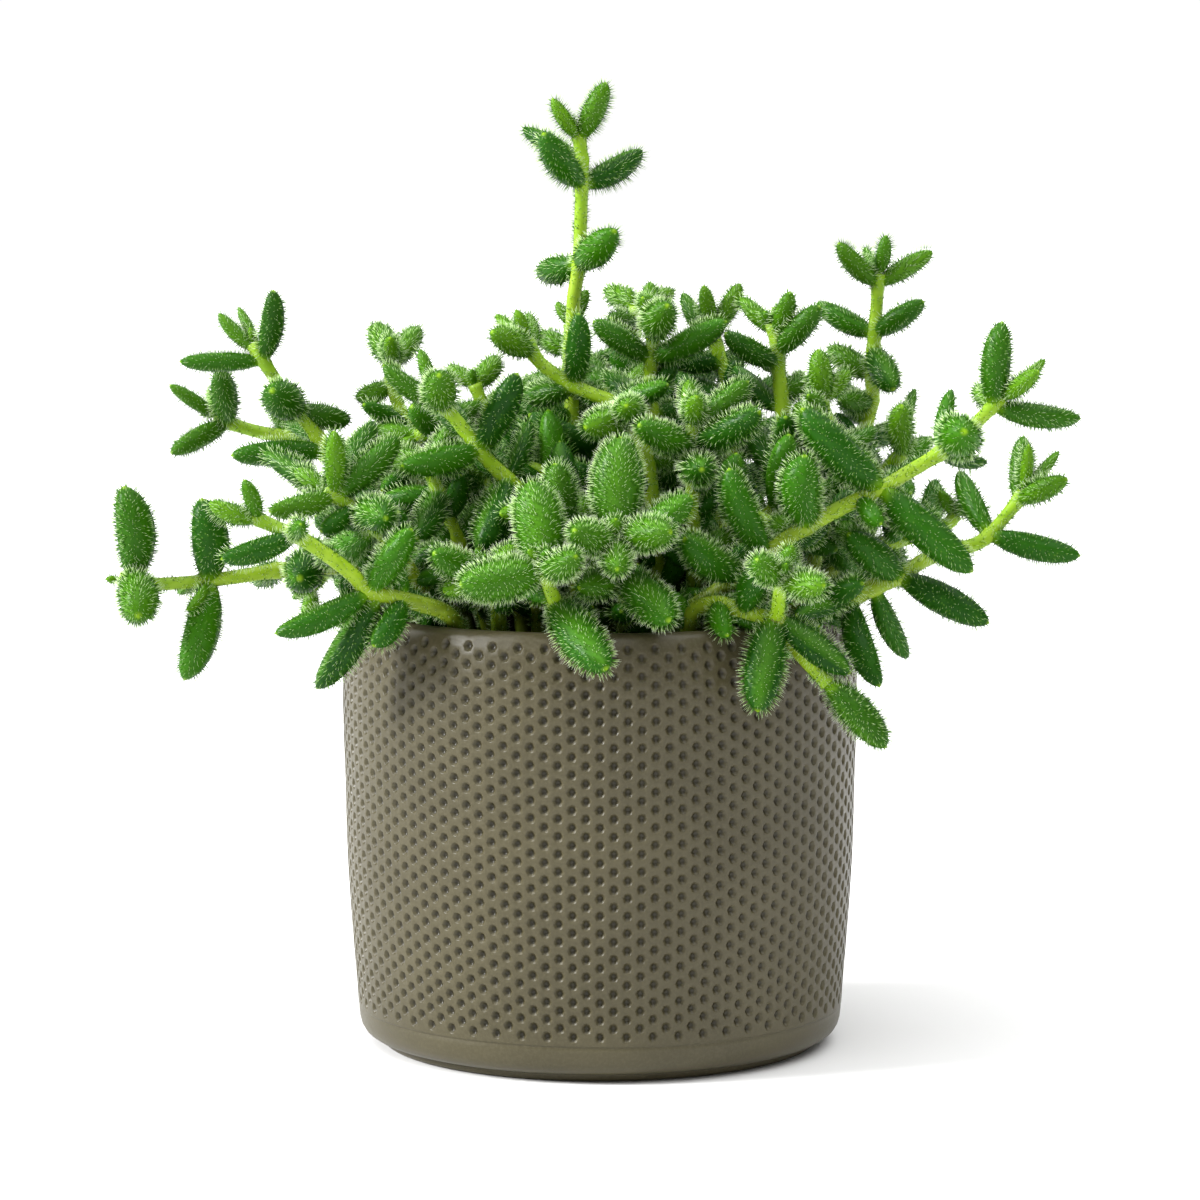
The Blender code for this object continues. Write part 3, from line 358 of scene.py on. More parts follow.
# Each stem: its name, its root on the soil (x, y), its route (across, up, depth) and its
# leaves (place on the route, then the tip's across, up and depth, then the width).
STEMS = (
    ("tall_centre_stem", (-2, 14),
     ((-5, 20, 16), (-5.8, 40, 18), (-5.5, 59, 18), (-5, 63.9, 18), (-4.2, 68.6, 18),
      (-4, 75.4, 18), (-3.7, 84.8, 18), (-3.7, 89.7, 18), (-4.2, 94, 18), (-4.6, 96, 18)),
     ((8, 1.3, 105.6, 15, 5.2), (8, -9.8, 102.3, 15, 3.4), (7, -15.8, 96.3, 27, 4.4),
      (6, -11.6, 95.3, 7, 6.6), (6, 8.7, 91.7, 25, 6.0), (4, 3.1, 75.4, 5, 7.0),
      (4, -12.2, 66.6, 31, 6.5))),
    ("back_centre_stem", (-9, 30),
     ((-8, 30, 34), (-6.5, 46, 35), (-6, 56, 35)),
     ((2, -2.6, 63.3, 34, 3.3), (2, -8.8, 60.8, 37, 2.6), (1.5, -12.5, 54, 42, 5.2),
      (1, -16, 44, 40, 5.6), (1, 3.5, 51, 46, 5.2), (0, 4, 38, 44, 6), (0.2, -1, 44, 28, 6.5),
      (0, -17, 30, 32, 7.0))),
    ("left_tall_stem", (-28, 14),
     ((-40, 8, 16), (-50, 22, 16), (-57.3, 32.8, 16), (-61.9, 38.9, 16), (-65.3, 43.5, 15.5),
      (-68.7, 48.9, 15), (-70, 50.8, 15), (-71, 52.3, 15)),
     ((5, -66.6, 63.3, 10, 5.3), (5, -85.8, 48.6, 13, 4.6), (6, -77.8, 58.5, 16, 3.3),
      (6, -73.8, 59.8, 20, 2.4), (3, -67.0, 42.8, 4, 8.2), (3, -50.8, 36.6, 20, 5.8),
      (2, -63.6, 37.2, 28, 4.2), (1.8, -75.3, 29.5, 12, 6.2))),
    ("left_rear_stem", (-32, 26),
     ((-46, 22, 36), (-58, 30.5, 41), (-64.2, 33.2, 42), (-69.8, 34.3, 42), (-75.9, 36.2, 42),
      (-78.3, 37.6, 42)),
     ((5, -87.8, 43.9, 38, 3.2), (4, -77.6, 47.3, 32, 6.0), (4, -87.6, 29.9, 36, 5.0),
      (5, -80, 43, 50, 2.3), (2, -60, 22, 52, 6.0), (2, -66, 44, 52, 5.5))),
    ("far_left_stem", (-36, 0),
     ((-45, 5.5, 1), (-52, 6.6, 0), (-60, 6.6, -1), (-66, 6, -2), (-73.6, 4.8, -4),
      (-79.7, 4, -5), (-85, 3.5, -5), (-91.4, 3.3, -6), (-95, 4.3, -6), (-97.8, 4.2, -6)),
     ((8, -97.1, 23.3, -9, 8.9), (8, -94.2, -3.4, -20, 9.0), (5, -81.2, 20.8, -8, 8.7),
      (5, -84.8, -16.5, -8, 8.2), (5, -84.3, -2.2, -13, 2.4), (5, -86.2, 1.4, 3, 2.6),
      (3, -70.5, 3.6, 12, 5.0), (2, -61.3, 4.3, -17, 8.8), (2, -58, 12, 14, 6.5))),
    ("left_front_stem", (-27, -29),
     ((-31, -3, -36), (-38, -0.4, -40), (-47.1, 1.9, -43), (-49.8, 4.5, -44), (-53.5, 7.6, -45),
      (-58.5, 11, -46), (-62, 13.2, -46), (-66, 14.8, -46), (-69.5, 16.4, -46),
      (-71, 17.4, -46)),
     ((2, -66.4, -6.9, -48, 5.7), (2, -38.3, 14.6, -47, 6.4), (6, -77.4, 8.3, -52, 5.2),
      (8, -79.8, 19.8, -46, 4.2), (8, -72.6, 24.6, -49, 3.4), (1.8, -57.9, -18.2, -37, 6.8),
      (2, -54, -5.4, -34, 3.2), (6, -61, 15.5, -60, 3.4))),
    ("left_upper_stem", (-31, -14),
     ((-40, 8, -24), (-46, 15, -29), (-49.4, 18.3, -31), (-54.3, 21.3, -33), (-56, 22.6, -33)),
     ((3, -67.6, 18.1, -40, 5.0), (3, -54.3, 34.6, -36, 4.6), (4, -62.3, 26.6, -30, 3.8),
      (3, -68.8, 30.2, -24, 4.6), (2, -43.6, 16.6, -45, 6.8), (3, -40.9, 33.2, -27, 6.2),
      (1, -50, 13, -14, 6.0), (3, -46, 36.5, -22, 6.0), (1, -57, 8, -14, 6.4))),
    ("left_diagonal_stem", (-12, -12),
     ((-14, 10, -18), (-16, 21, -22), (-19, 24.6, -23), (-22.4, 28, -24), (-24.6, 30.7, -25),
      (-27.2, 34, -25), (-29.9, 37.4, -25), (-32.6, 40, -25), (-34, 42, -25)),
     ((4, -16.8, 46.4, -29, 7.0), (4, -40.6, 27.3, -32, 6.3), (7, -32.9, 46, -35, 6.8),
      (7, -44.3, 48, -25, 4.5), (8, -36.7, 51.2, -23, 3.0), (2, -14.4, 36.6, -16, 3.8),
      (2, -24.7, 10.2, -34, 7.6), (0, -20, 14, -30, 6.0))),
    ("left_inner_stem", (-22, -8),
     ((-29, 12, -13), (-33, 22, -15), (-35, 27, -16)),
     ((1, -37.6, 12.5, -29, 6.0), (2, -30, 36, -12, 5.0), (2, -44, 30, -8, 5.5),
      (0, -22, 22, -6, 5.5), (0, -40, 6, -8, 6.0))),
    ("upper_diagonal_stem", (8, 2),
     ((7, 20, -2), (6, 34, -5), (2.4, 40.1, -6), (-1.4, 41.9, -6), (-5.5, 43.8, -5),
      (-9.2, 46, -4), (-12.2, 48.4, -3), (-14, 50.8, -3), (-15, 53, -3)),
     ((4, -4.4, 58.6, -9, 5.6), (4, -15.7, 41.4, 2, 5.6), (7, -22.2, 54.8, -12, 5.3),
      (7, -14.9, 58.3, 7, 4.2), (8, -17.1, 59.2, -5, 2.7), (8, -21.3, 58.2, 3, 3.0),
      (2, 14, 44, -14, 5.0), (0, -6, 28, -8, 6.0))),
    ("front_left_rosette_stem", (-9, -26),
     ((-9.3, -2.5, -38), (-9.2, -0.5, -49), (-10.3, 2.5, -51), (-11.8, 6.5, -53),
      (-12.3, 8.3, -54)),
     ((3, -28.7, 3.2, -58, 8.2), (3, -14.1, 24.4, -49, 9.2), (3, -4.8, 9, -65, 5.6),
      (1, 1.4, -14.2, -62, 8.3), (4, -10.6, 10.2, -58, 2.0))),
    ("front_left_inner_stem", (-4, -17),
     ((-5, 4, -27), (-7.5, 14, -33), (-8, 17, -34)),
     ((1, -9.2, 28, -36, 6.5), (1, -2, 21, -24, 5.5), (0, -16, 12, -26, 6.0),
      (0, 2, 10, -24, 5.0))),
    ("front_left_low_stem", (-20, -25),
     ((-21, 0, -33), (-23, 4.5, -38), (-24, 7, -40)),
     ((1, -34, 9.7, -50, 5.8), (2, -32, 1.5, -44, 5.0), (1, -17, 11, -42, 5.5),
      (0, -30, 4, -26, 5.5))),
    ("front_centre_rosette_stem", (5, -24),
     ((5, -1, -33), (4.2, 5, -41), (3.4, 10.5, -46), (3.3, 12.8, -48)),
     ((3, 4.3, 33.4, -45, 9.6), (3, -5.4, 14.3, -61, 6.4), (3, 14.6, 13.9, -59, 6.6),
      (3, 3.5, 6.2, -62, 5.4), (3, 3.2, 16.6, -54, 3.0), (1, 14.2, -4.3, -57, 7.8),
      (1, -4.5, 2.4, -50, 6.0), (2, 18.9, 21.3, -50, 6.8))),
    ("ball_stem", (13, -8),
     ((11.5, 8, -14), (10.6, 20.7, -18), (10.2, 26.5, -19), (9.2, 30.6, -20),
      (7.1, 34.7, -20), (5.8, 38, -21)),
     ((5, 5.3, 39.7, -33, 5.6), (5, -3.2, 35.2, -30, 6.4), (3, 16, 28.5, -14, 5.0),
      (1, -1, 20, -12, 5.5), (1, 21, 15, -12, 5.5))),
    ("centre_rosette_stem", (19, -16),
     ((19, 10, -20), (18.8, 28.5, -24), (19, 31.4, -25), (19, 34.5, -26), (19, 36, -26)),
     ((4, 18, 44.9, -24, 3.8), (4, 19.7, 41.6, -33, 4.2), (3, 30.3, 44.7, -28, 5.4),
      (2, 32.8, 38.5, -36, 6.8), (2, 7.8, 35.8, -37, 6.2), (1, 20.8, 26.6, -39, 6.6),
      (0, 28, 14, -14, 6.0))),
    ("centre_right_tall_stem", (14, 8),
     ((12, 20, 6), (11, 30, 5), (10.5, 38.4, 4), (10.2, 43.5, 4), (10.4, 49.2, 3),
      (10.9, 54, 2), (11.2, 56.5, 2)),
     ((4, -1.5, 56.9, 0, 5.6), (4, 25.9, 56.9, -2, 6.2), (5, 13.8, 60.2, -11, 6.6),
      (6, 8.6, 61.8, -5, 3.8), (6, 10.2, 64.9, 6, 4.0), (2, 22, 40, 12, 5.6),
      (2, 1, 46, 14, 5.6), (1, 19, 21, 11, 7.0), (0.3, 17, 31, -3, 6.6),
      (0, 3, 12, 4, 7.0))),
    ("back_centre_right_stem", (22, 22),
     ((27, 30, 26), (26.4, 40, 27), (25.4, 46, 28), (23.8, 51.5, 28), (23.2, 55, 28)),
     ((4, 21.1, 64.2, 26, 3.5), (4, 28.6, 64.6, 30, 4.5), (3, 16.8, 62.7, 34, 4.2),
      (1, 15, 46, 34, 6.0), (1, 38, 46, 34, 5.6), (0, 38, 37, 30, 7.4), (0, 32, 15, 30, 7.4),
      (0.5, 17, 30, 24, 7.4))),
    ("back_middle_stem", (6, 34),
     ((6, 28, 38), (6.4, 44, 40), (7.2, 56, 41), (7.4, 60, 41)),
     ((3, 1.6, 63.2, 52, 5.4), (2, 2.2, 57.5, 30, 4.6), (1, -2.4, 44.3, 52, 5.6),
      (3, 15, 63, 48, 4.8))),
    ("right_upper_stem", (34, 2),
     ((38, 20, 4), (38, 30, 4), (37.2, 39, 4), (36.4, 46.9, 4), (36.2, 50.5, 4),
      (35.6, 54.5, 4), (35, 56.5, 4)),
     ((4, 44.9, 60, -2, 5.6), (5, 38.8, 62.9, -1, 4.2), (5, 28.5, 61.7, 8, 3.8),
      (6, 33.5, 58.9, 2, 1.9), (3.4, 25.4, 54.5, -3, 5.3), (2, 27.3, 47.6, 14, 5.2),
      (2, 41, 46.8, 16, 3.4), (1, 37.8, 37.5, -9, 5.0), (0.4, 30, 36, 13, 7.2),
      (0, 31, 9, 10, 7.2), (2.5, 43.5, 44.5, 10, 5.4))),
    ("tall_right_stem", (36, 20),
     ((48, 22, 30), (53, 32, 36), (55.4, 40.7, 38), (55.4, 46, 38), (55.8, 51, 38),
      (55.9, 54.3, 38), (56.4, 59.8, 38), (56.6, 64.4, 38), (56.9, 66.5, 38)),
     ((7, 48.5, 72.9, 34, 4.8), (8, 54, 71.9, 46, 2.5), (8, 58.3, 74.4, 36, 3.3),
      (7, 67.8, 71.1, 41, 4.6), (5, 44.1, 60.6, 44, 5.5), (5, 66.1, 61, 33, 5.3),
      (4, 59.9, 42.8, 27, 6.4), (3, 46.5, 51.5, 44, 6.0), (2, 48.6, 40.8, 30, 4.4),
      (1, 63, 36, 46, 5.5))),
    ("right_inner_stem", (40, -8),
     ((46, 18, -8), (47, 30, -6), (46, 37, -6), (45.2, 40.8, -6)),
     ((3, 44.5, 51.2, -8, 5.2), (3, 50.9, 46.8, -4, 4.2), (2, 42.3, 41.9, -14, 3.0),
      (1, 56.5, 35, 4, 5.0), (0, 52, 28, -22, 6.0), (0, 34, 22, -12, 6.0),
      (1.6, 40, 40, 2, 6.0), (0, 53, 5, 2, 7.2))),
    ("right_big_stem", (11, -22),
     ((16, -3.5, -27), (21.8, 0.3, -31), (25.2, 2.6, -33), (29.2, 5, -35), (34, 9.2, -36),
      (37.4, 12, -36), (42.2, 15, -36), (50, 19.2, -35), (57.2, 22.6, -34), (62.5, 25.8, -32),
      (69.3, 29.9, -30), (74, 33.4, -28), (77.8, 37.2, -26), (80.2, 39.6, -25),
      (82, 41.2, -25)),
     ((4, 26.2, 27, -40, 6.9), (3, 17, 12.7, -43, 7.4), (6, 41.8, 29.7, -41, 8.4),
      (6, 46.2, 24, -30, 3.4), (8, 41, 39.2, -38, 8.0), (8, 76.1, 5.6, -38, 8.0),
      (11, 74.4, 34.4, -44, 8.8), (10, 78.9, 28.1, -20, 3.6), (13, 77, 43.3, -13, 4.2),
      (10, 71.7, 43, -22, 4.0), (13, 82, 56.9, -27, 6.5), (13, 98.1, 37, -22, 5.4),
      (14, 89.5, 46.8, -33, 3.7), (14, 90.8, 49.1, -20, 2.7))),
    ("right_low_stem", (31, -21),
     ((38, -1.5, -24), (44, -1.2, -26), (51, 0.2, -28), (56, 2.6, -27), (61.2, 4.8, -26),
      (65.9, 8, -22), (71, 9.9, -18), (76.4, 11.3, -14), (79.4, 13.3, -12), (82.1, 16.4, -11),
      (85.3, 20.3, -10), (86.4, 22, -10)),
     ((4, 79.4, -4.8, -32, 6.6), (4, 50.4, 13.7, -33, 7.3), (8, 98, 9, -16, 5.9),
      (8, 73.1, 26.3, -1, 5.6), (10, 95.3, 24.8, -18, 4.7), (10, 86.4, 33.5, -4, 5.0),
      (11, 87.4, 31.8, -14, 2.9), (11, 93.6, 30.4, -4, 2.5), (2, 57.1, -17.8, -37, 6.5),
      (3, 62.7, -12, -18, 5.2), (2, 39.8, -3.2, -42, 4.6), (1, 53.8, 3.5, -39, 5.0))),
    ("front_right_stem", (17, -32),
     ((19, -2.5, -37), (23.5, -0.6, -40), (27.5, -1.7, -42), (32, -3, -43), (35.6, -3.6, -46),
      (36.5, 0, -51), (37, 4.5, -55)),
     ((4, 32.1, -22.9, -55, 8.0), (4, 51.1, -15.1, -49, 6.2), (6, 31.9, 8.3, -63, 5.2),
      (6, 45.8, 3, -66, 5.4), (6, 39.2, 11.1, -58, 3.6), (6, 38, 7.5, -62, 2.0))),
    ("front_right_stem", None,
     ((35.6, -3.6, -46), (41, -11, -47), (46.5, -17.2, -48)),
     ((2, 58.4, -30.2, -50, 7.0),)),
    ("back_left_stem", (-25, 26),
     ((-33, 24, 22), (-39, 35, 20), (-42.5, 44, 20), (-42, 48.5, 20)),
     ((3, -46, 56.2, 31, 6.4), (3, -36.9, 55.6, 30, 5.2), (3, -42.8, 53.6, 11, 3.6),
      (2, -49.8, 41, 22, 4.6), (1, -48.4, 40, 8, 4.2), (1, -32, 40, 30, 5.6),
      (1, -53, 30, 12, 7.4), (0.5, -46, 21, 14, 7.4))),
    ("back_left_inner_stem", (-15, 20),
     ((-19, 28, 18), (-24, 40, 17), (-25.6, 44, 17)),
     ((2, -20.9, 49.5, 26, 5.0), (2, -31, 47.8, 22, 3.6), (1, -12, 44, 22, 5.5),
      (1, -34, 36, 6, 5.5), (0, -28, 28, 30, 6.0), (0, -31, 13, 24, 7.5),
      (0.4, -12, 24, 12, 7.0))),
    ("right_back_low_stem", (43, 4),
     ((50, 9, 6), (60, 12, 8), (67, 13.5, 6), (71.5, 16, 4), (72.5, 17.5, 4)),
     ((4, 76.2, 21.8, -1, 3.7), (4, 69.2, 22.3, 2, 3.0), (2, 68.5, 24.6, 18, 5.2),
      (1, 62, 3, 20, 6.0), (1, 60, 22, 16, 5.5))),
    ("right_middle_stem", (35, 11),
     ((47, 16, 3), (57, 25, 1), (61.5, 30, -1)),
     ((2, 61.5, 39.8, -9, 5.6), (2, 64.3, 43.2, 10, 3.2), (1, 68, 33, 10, 5.0),
      (1, 52, 34, 14, 5.6), (0, 56, 14, -10, 5.5))),
)


# Each stem that the photograph hides: its direction from the middle in degrees, how far out its root
# stands, how far it reaches on, and how high it rises and how deep it droops.
HIDDEN_STEMS = (
    (-8, 26, 24, 26, 6), (40, 38, 40, 14, 10), (62, 36, 34, 24, 10),
    (66, 22, 30, 46, 4), (84, 40, 44, 14, 24), (100, 26, 34, 38, 6), (116, 38, 42, 18, 20),
    (138, 40, 36, 14, 14), (150, 28, 34, 32, 8), (172, 36, 20, 16, 4), (168, 16, 22, 38, 2),
    (-30, 20, 20, 22, 2), (-112, 14, 16, 24, 0), (75, 8, 10, 44, 0), (-165, 6, 12, 30, 0),
)

# The mound of leaves as the photograph shows it: across and up on the drawing plane.
MOUND_OUTLINE = ((-50, -40), (-50, -3), (-56, 5), (-59, 18), (-54, 32), (-44, 41), (-28, 41),
                 (-12, 43), (-2, 52), (24, 53), (44, 49), (54, 40), (63, 30), (65, 20),
                 (60, 8), (51, -3), (51, -40))

ARCH_PLACES = (0.2, 0.45, 0.7, 1.0)
ARCH_FOOT = 6.5
ARCH_SWAY = 3.0
ARCH_HASTE, ARCH_SPREAD = 1.35, 1.25
FIRST_PAIR_AT = 1.7
PAIR_SPACING = 15 * MM
PAIR_LENGTHS = (14.5, 18.0)
PAIR_WIDTHS = (6.2, 7.6)
PAIR_LEANS = (0.9, 1.15)
PAIR_TURN = 0.35
TIP_PAIR = (11.0, 4.2, 0.55)
TRIED_TURNS = (0, 0.35, -0.35, 0.7, -0.7, 1.1, -1.1)
TRIED_LEANS = (0, -0.35, 0.3)
STEM_SEED = 7


def place(across, up, depth):
    """World point for a place on the drawing plane and its depth, all in millimetres."""
    seen = CENTRE + Vector((1, 0, 0)) * across * MM + DRAWING_UP * up * MM
    ray = seen - EYE
    return EYE + ray * ((depth * MM - EYE.y) / ray.y)


def inside_outline(point):
    """Whether a world point, seen from the photograph's eye, falls on the mound."""
    view = (CENTRE - EYE).normalized()
    ray = point - EYE
    seen = EYE + ray * ((CENTRE - EYE).length / ray.dot(view)) - CENTRE
    across, up = seen.x / MM, seen.dot(DRAWING_UP) / MM
    inside = False
    for (x0, y0), (x1, y1) in zip(MOUND_OUTLINE, MOUND_OUTLINE[1:] + MOUND_OUTLINE[:1]):
        if (y0 > up) != (y1 > up) and across < x0 + (x1 - x0) * (up - y0) / (y1 - y0):
            inside = not inside
    return inside


def frame_along(direction, hint):
    """Two unit vectors across a direction, the second as near to the hint as it goes."""
    side = hint.cross(direction)
    if side.length < 1e-6:
        side = Vector(ODD_HINT).cross(direction)
    side.normalize()
    return side, direction.cross(side).normalized()


def bends_only(points):
    """The points of a route at which it turns, with its two ends."""
    kept = [points[0]]
    for point, after in zip(points[1:], points[2:]):
        if (point - kept[-1]).angle(after - point) > STRAIGHT:
            kept.append(point)
    return kept + [points[-1]]


def stem_solid(points, grow=0.0):
    """Corners and faces of a few-sided tube through the points, thinner towards its tip."""
    corners = []
    points = bends_only(points)
    last = len(points) - 1
    hint = STEM_HINT
    for index, point in enumerate(points):
        ahead = points[min(index + 1, last)] - points[max(index - 1, 0)]
        ahead.normalize()
        side, hint = frame_along(ahead, hint)
        radius = STEM_FOOT_RADIUS + (STEM_TIP_RADIUS - STEM_FOOT_RADIUS) * index / last + grow
        for k in range(STEM_SIDES):
            turn = 2 * pi * k / STEM_SIDES
            corners.append(point + side * cos(turn) * radius + hint * sin(turn) * radius)
    return corners, ring_faces(last + 1, STEM_SIDES, True)


def ring_faces(rings, sides, capped):
    """Faces of a row of rings, closed at the foot and, when capped, at the far end."""
    faces = [list(reversed(range(sides)))]
    for ring in range(rings - 1):
        low = ring * sides
        for k in range(sides):
            after = (k + 1) % sides
            faces.append([low + k, low + after, low + sides + after, low + sides + k])
    if capped:
        faces.append([(rings - 1) * sides + k for k in range(sides)])
    return faces


def leaf_solid(base, tip, width, face, sides, grow=0.0):
    """Corners and faces of one plump leaf, rounder below than on the face it turns up."""
    length = (tip - base).length + grow
    along = (tip - base).normalized()
    side, up = frame_along(along, face)
    corners = []
    for share, swell in LEAF_RINGS:
        radius = width / 2 * swell * PLUMP + grow
        for k in range(sides):
            turn = 2 * pi * (k + 0.5) / sides
            flat = UPPER_FACE if sin(turn) > 0 else LOWER_FACE
            corners.append(base + along * length * share
                           + side * cos(turn) * radius + up * sin(turn) * radius * flat)
    faces = ring_faces(len(LEAF_RINGS), sides, False)[1:]
    low = (len(LEAF_RINGS) - 1) * sides
    corners += [base - along * LEAF_SINK, base + along * length]
    for k in range(sides):
        after = (k + 1) % sides
        faces.append([after, k, len(corners) - 2])
        faces.append([low + k, low + after, len(corners) - 1])
    return corners, faces


def tree_of(solid):
    """Search tree and box of a solid, for the test of what touches what."""
    corners, faces = solid
    low = [min(c[i] for c in corners) for i in range(3)]
    high = [max(c[i] for c in corners) for i in range(3)]
    return BVHTree.FromPolygons(corners, faces), low, high


def touching(tree, others):
    """Whether a solid crosses any of the others."""
    for other in others:
        apart = any(tree[1][i] > other[2][i] or other[1][i] > tree[2][i] for i in range(3))
        if not apart and tree[0].overlap(other[0]):
            return True
    return False


def trees_but(name, *groups):
    """The search trees in all the groups, apart from one node's own."""
    return [tree for group in groups for owner, trees in group.items() if owner != name for tree in trees]


def lathe(profile, columns):
    """Corners and faces of a closed turned solid from radius and height in millimetres."""
    corners = []
    for radius, height in profile:
        for k in range(columns):
            turn = 2 * pi * k / columns
            corners.append(Vector((radius * MM * cos(turn), radius * MM * sin(turn), height * MM)))
    return corners, ring_faces(len(profile), columns, True)


def fits(solid, others):
    """Whether a solid keeps clear of the pot, of the soil inside it and of the others."""
    tree = tree_of(solid)
    if touching(tree, [pot_tree]):
        return False
    for corner in solid[0]:
        low = corner.z < SOIL_TOP + SOIL_RELIEF + CLEARANCE
        if low and hypot(corner.x, corner.y) < NEAR_WALL:
            return False
    return not touching(tree, others)


def leaning(ahead, side, up, turn, lean):
    """A direction that leans away from the stem, turned about it."""
    out = side * cos(turn) + up * sin(turn)
    return ahead * cos(lean) + out * sin(lean)


def point_on(points, where):
    """Point and direction at a place on a route, counted in points."""
    index = min(int(where), len(points) - 2)
    start = points[index]
    step = points[index + 1] - start
    return start + step * (where - index), step.normalized()


def rooted(root, points):
    """Route from the hole in the soil to the first point that can be seen."""
    ground = Vector((root[0] * MM, root[1] * MM, SOIL_TOP))
    low = ground - Vector((0, 0, ROOT_DEPTH))
    out = ground + Vector((0, 0, STEM_OUT))
    return [low, out] + points


def settle_stem(root, points, stems_so_far):
    """Route from a root near the asked one that clears the stems before it, or none."""
    for shift in ROOT_SHIFTS:
        for k in range(ROOT_WAYS):
            turn = 2 * pi * k / ROOT_WAYS
            spot = (root[0] + shift * cos(turn), root[1] + shift * sin(turn))
            if hypot(*spot) < ROOT_LIMIT:
                route = rooted(spot, points)
                if not touching(tree_of(stem_solid(route, CLEARANCE)), stems_so_far):
                    return route
    return None


def settle_leaf(base, direction, tips, width, sides, others):
    """First of the offered tips at which a leaf clears the other nodes, or none."""
    for shrink in LEAF_SHRINKS:
        for tip in tips:
            end = base + (tip - base) * (1 + shrink) / 2
            if fits(leaf_solid(base, end, width * shrink, direction, sides, CLEARANCE), others):
                return end, width * shrink
    return None


def hidden_route(azimuth, root_radius, reach, rise, fall):
    """Root and route of a stem that the photograph hides, arching out from the soil."""
    turn = radians(azimuth)
    out = Vector((cos(turn), sin(turn), 0))
    aside = Vector((-sin(turn), cos(turn), 0))
    points = []
    for share in ARCH_PLACES:
        height = ARCH_FOOT + rise * sin(pi / 2 * min(share * ARCH_HASTE, 1.0)) - fall * share ** 3
        flat = out * (root_radius + reach * share ** ARCH_SPREAD) + aside * ARCH_SWAY * sin(3 * share)
        points.append(flat * MM + Vector((0, 0, SOIL_TOP + height * MM)))
    return (out.x * root_radius, out.y * root_radius), points


def all_stems():
    """Every stem's name, the routes it may take and the leaves it asks for."""
    asked = []
    for name, root, route, leaves in STEMS:
        asked.append((name, [(root, [place(*p) for p in route])], leaves))
    for number, (azimuth, *sizes) in enumerate(HIDDEN_STEMS, 1):
        choices = [hidden_route(azimuth + turn, *sizes) for turn in HIDDEN_TURNS]
        asked.append((f"hidden_stem_{number:02d}", choices, None))
    return asked


def drawn_tips(leaf):
    """Tips to try for a leaf read off the photograph: only its depth may change."""
    where, across, up, depth, width = leaf
    return [place(across, up, depth + shift) for shift in DEPTH_SHIFTS]


def ruled_leaves(points, draw):
    """Leaves of a hidden stem: crossed pairs up the stem and a small pair at its tip."""
    total = sum((b - a).length for a, b in zip(points[1:], points[2:]))
    pairs = max(2, int(total / PAIR_SPACING))
    leaves = []
    for pair in range(pairs + 1):
        where = FIRST_PAIR_AT + (len(points) - 1 - FIRST_PAIR_AT) * pair / pairs
        base, ahead = point_on(points, where)
        side, up = frame_along(ahead, UP_HINT)
        length, width, lean = TIP_PAIR
        if pair < pairs:
            length, width = draw.uniform(*PAIR_LENGTHS), draw.uniform(*PAIR_WIDTHS)
            lean = draw.uniform(*PAIR_LEANS)
        start = pair * pi / 2 + draw.uniform(-PAIR_TURN, PAIR_TURN)
        for half in (0, pi):
            tips = []
            for turn in TRIED_TURNS:
                for bend in TRIED_LEANS:
                    way = leaning(ahead, side, up, start + half + turn, lean + bend)
                    if inside_outline(base + way * length * MM):
                        tips.append(base + way * length * MM)
            leaves.append((where, tips, width * MM))
    return leaves


def grow_all():
    """Every node's routes and leaves, settled so that no two nodes cross."""
    draw = random.Random(STEM_SEED)
    routes = []
    stem_trees = {}
    for name, choices, leaves in all_stems():
        others = trees_but(name, stem_trees)
        for root, points in choices:
            route = points if root is None else settle_stem(root, points, others)
            if route:
                stem_trees.setdefault(name, []).append(tree_of(stem_solid(route)))
                routes.append((name, root, route, leaves))
                break
    leaves_of = {}
    leaf_trees = {}
    for name, root, route, leaves in routes:
        leaves_of.setdefault(name, [])
        if leaves is None:
            wanted = ruled_leaves(route, draw)
        else:
            skip = 0 if root is None else 2
            wanted = [(leaf[0] + skip, drawn_tips(leaf), leaf[4] * MM) for leaf in leaves]
        for where, tips, width in wanted:
            base, ahead = point_on(route, where)
            others = trees_but(name, stem_trees, leaf_trees)
            sides = next(count for limit, count in LEAF_SIDES if width < limit)
            if leaves is None:
                sides = HIDDEN_LEAF_SIDES
            found = settle_leaf(base, ahead, tips, width, sides, others)
            if found:
                leaf = (base, found[0], found[1], ahead, sides)
                leaf_trees.setdefault(name, []).append(tree_of(leaf_solid(*leaf)))
                leaves_of[name].append(leaf)
    return routes, leaves_of, stem_trees, leaf_trees


# Stems and leaves are settled against the pot's plain outline, without its dimples.
plain_wall = tuple((radius, height) for height, radius in WALL[1:-1])
pot_tree = tree_of(lathe(PLAIN_FOOT + plain_wall + PLAIN_LIP, PLAIN_COLUMNS))
routes, leaves_of, stem_trees, leaf_trees = grow_all()

# Between those leaves grow smaller ones, which fill the heart of the plant with dark green: they get the dark
# colouring of grown leaves as painted shade. They stand in crossed pairs on the same stems, only where the
# photograph shows the mound. Buds end each stem.
FILL_START = 9 * MM
FILL_STEP = 5.5 * MM
FILL_ABOVE_SOIL = 4 * MM
FILL_LENGTHS = (8.5, 13.5)
FILL_SLENDER = (0.42, 0.52)
FILL_SHRINKS = (1.0, 0.8)
FILL_LEANS = (0.8, 1.2)
FILL_TURN = 0.5
FILL_FREE_FROM = 2.6 * MM
SMALL_SIDES = 5
SEEN_SHARES, SEEN_ASIDE = (0.35, 0.65, 0.95), 0.4
BUD_LENGTHS = (3.0, 4.2)
BUD_SLENDER = 0.45
BUD_LEAN = 0.5
BUD_TURNS = (0, 0.5, -0.5, 1.0, -1.0, 1.5)
BUD_FREE_FROM = 0.4
BARE_END = 5 * MM
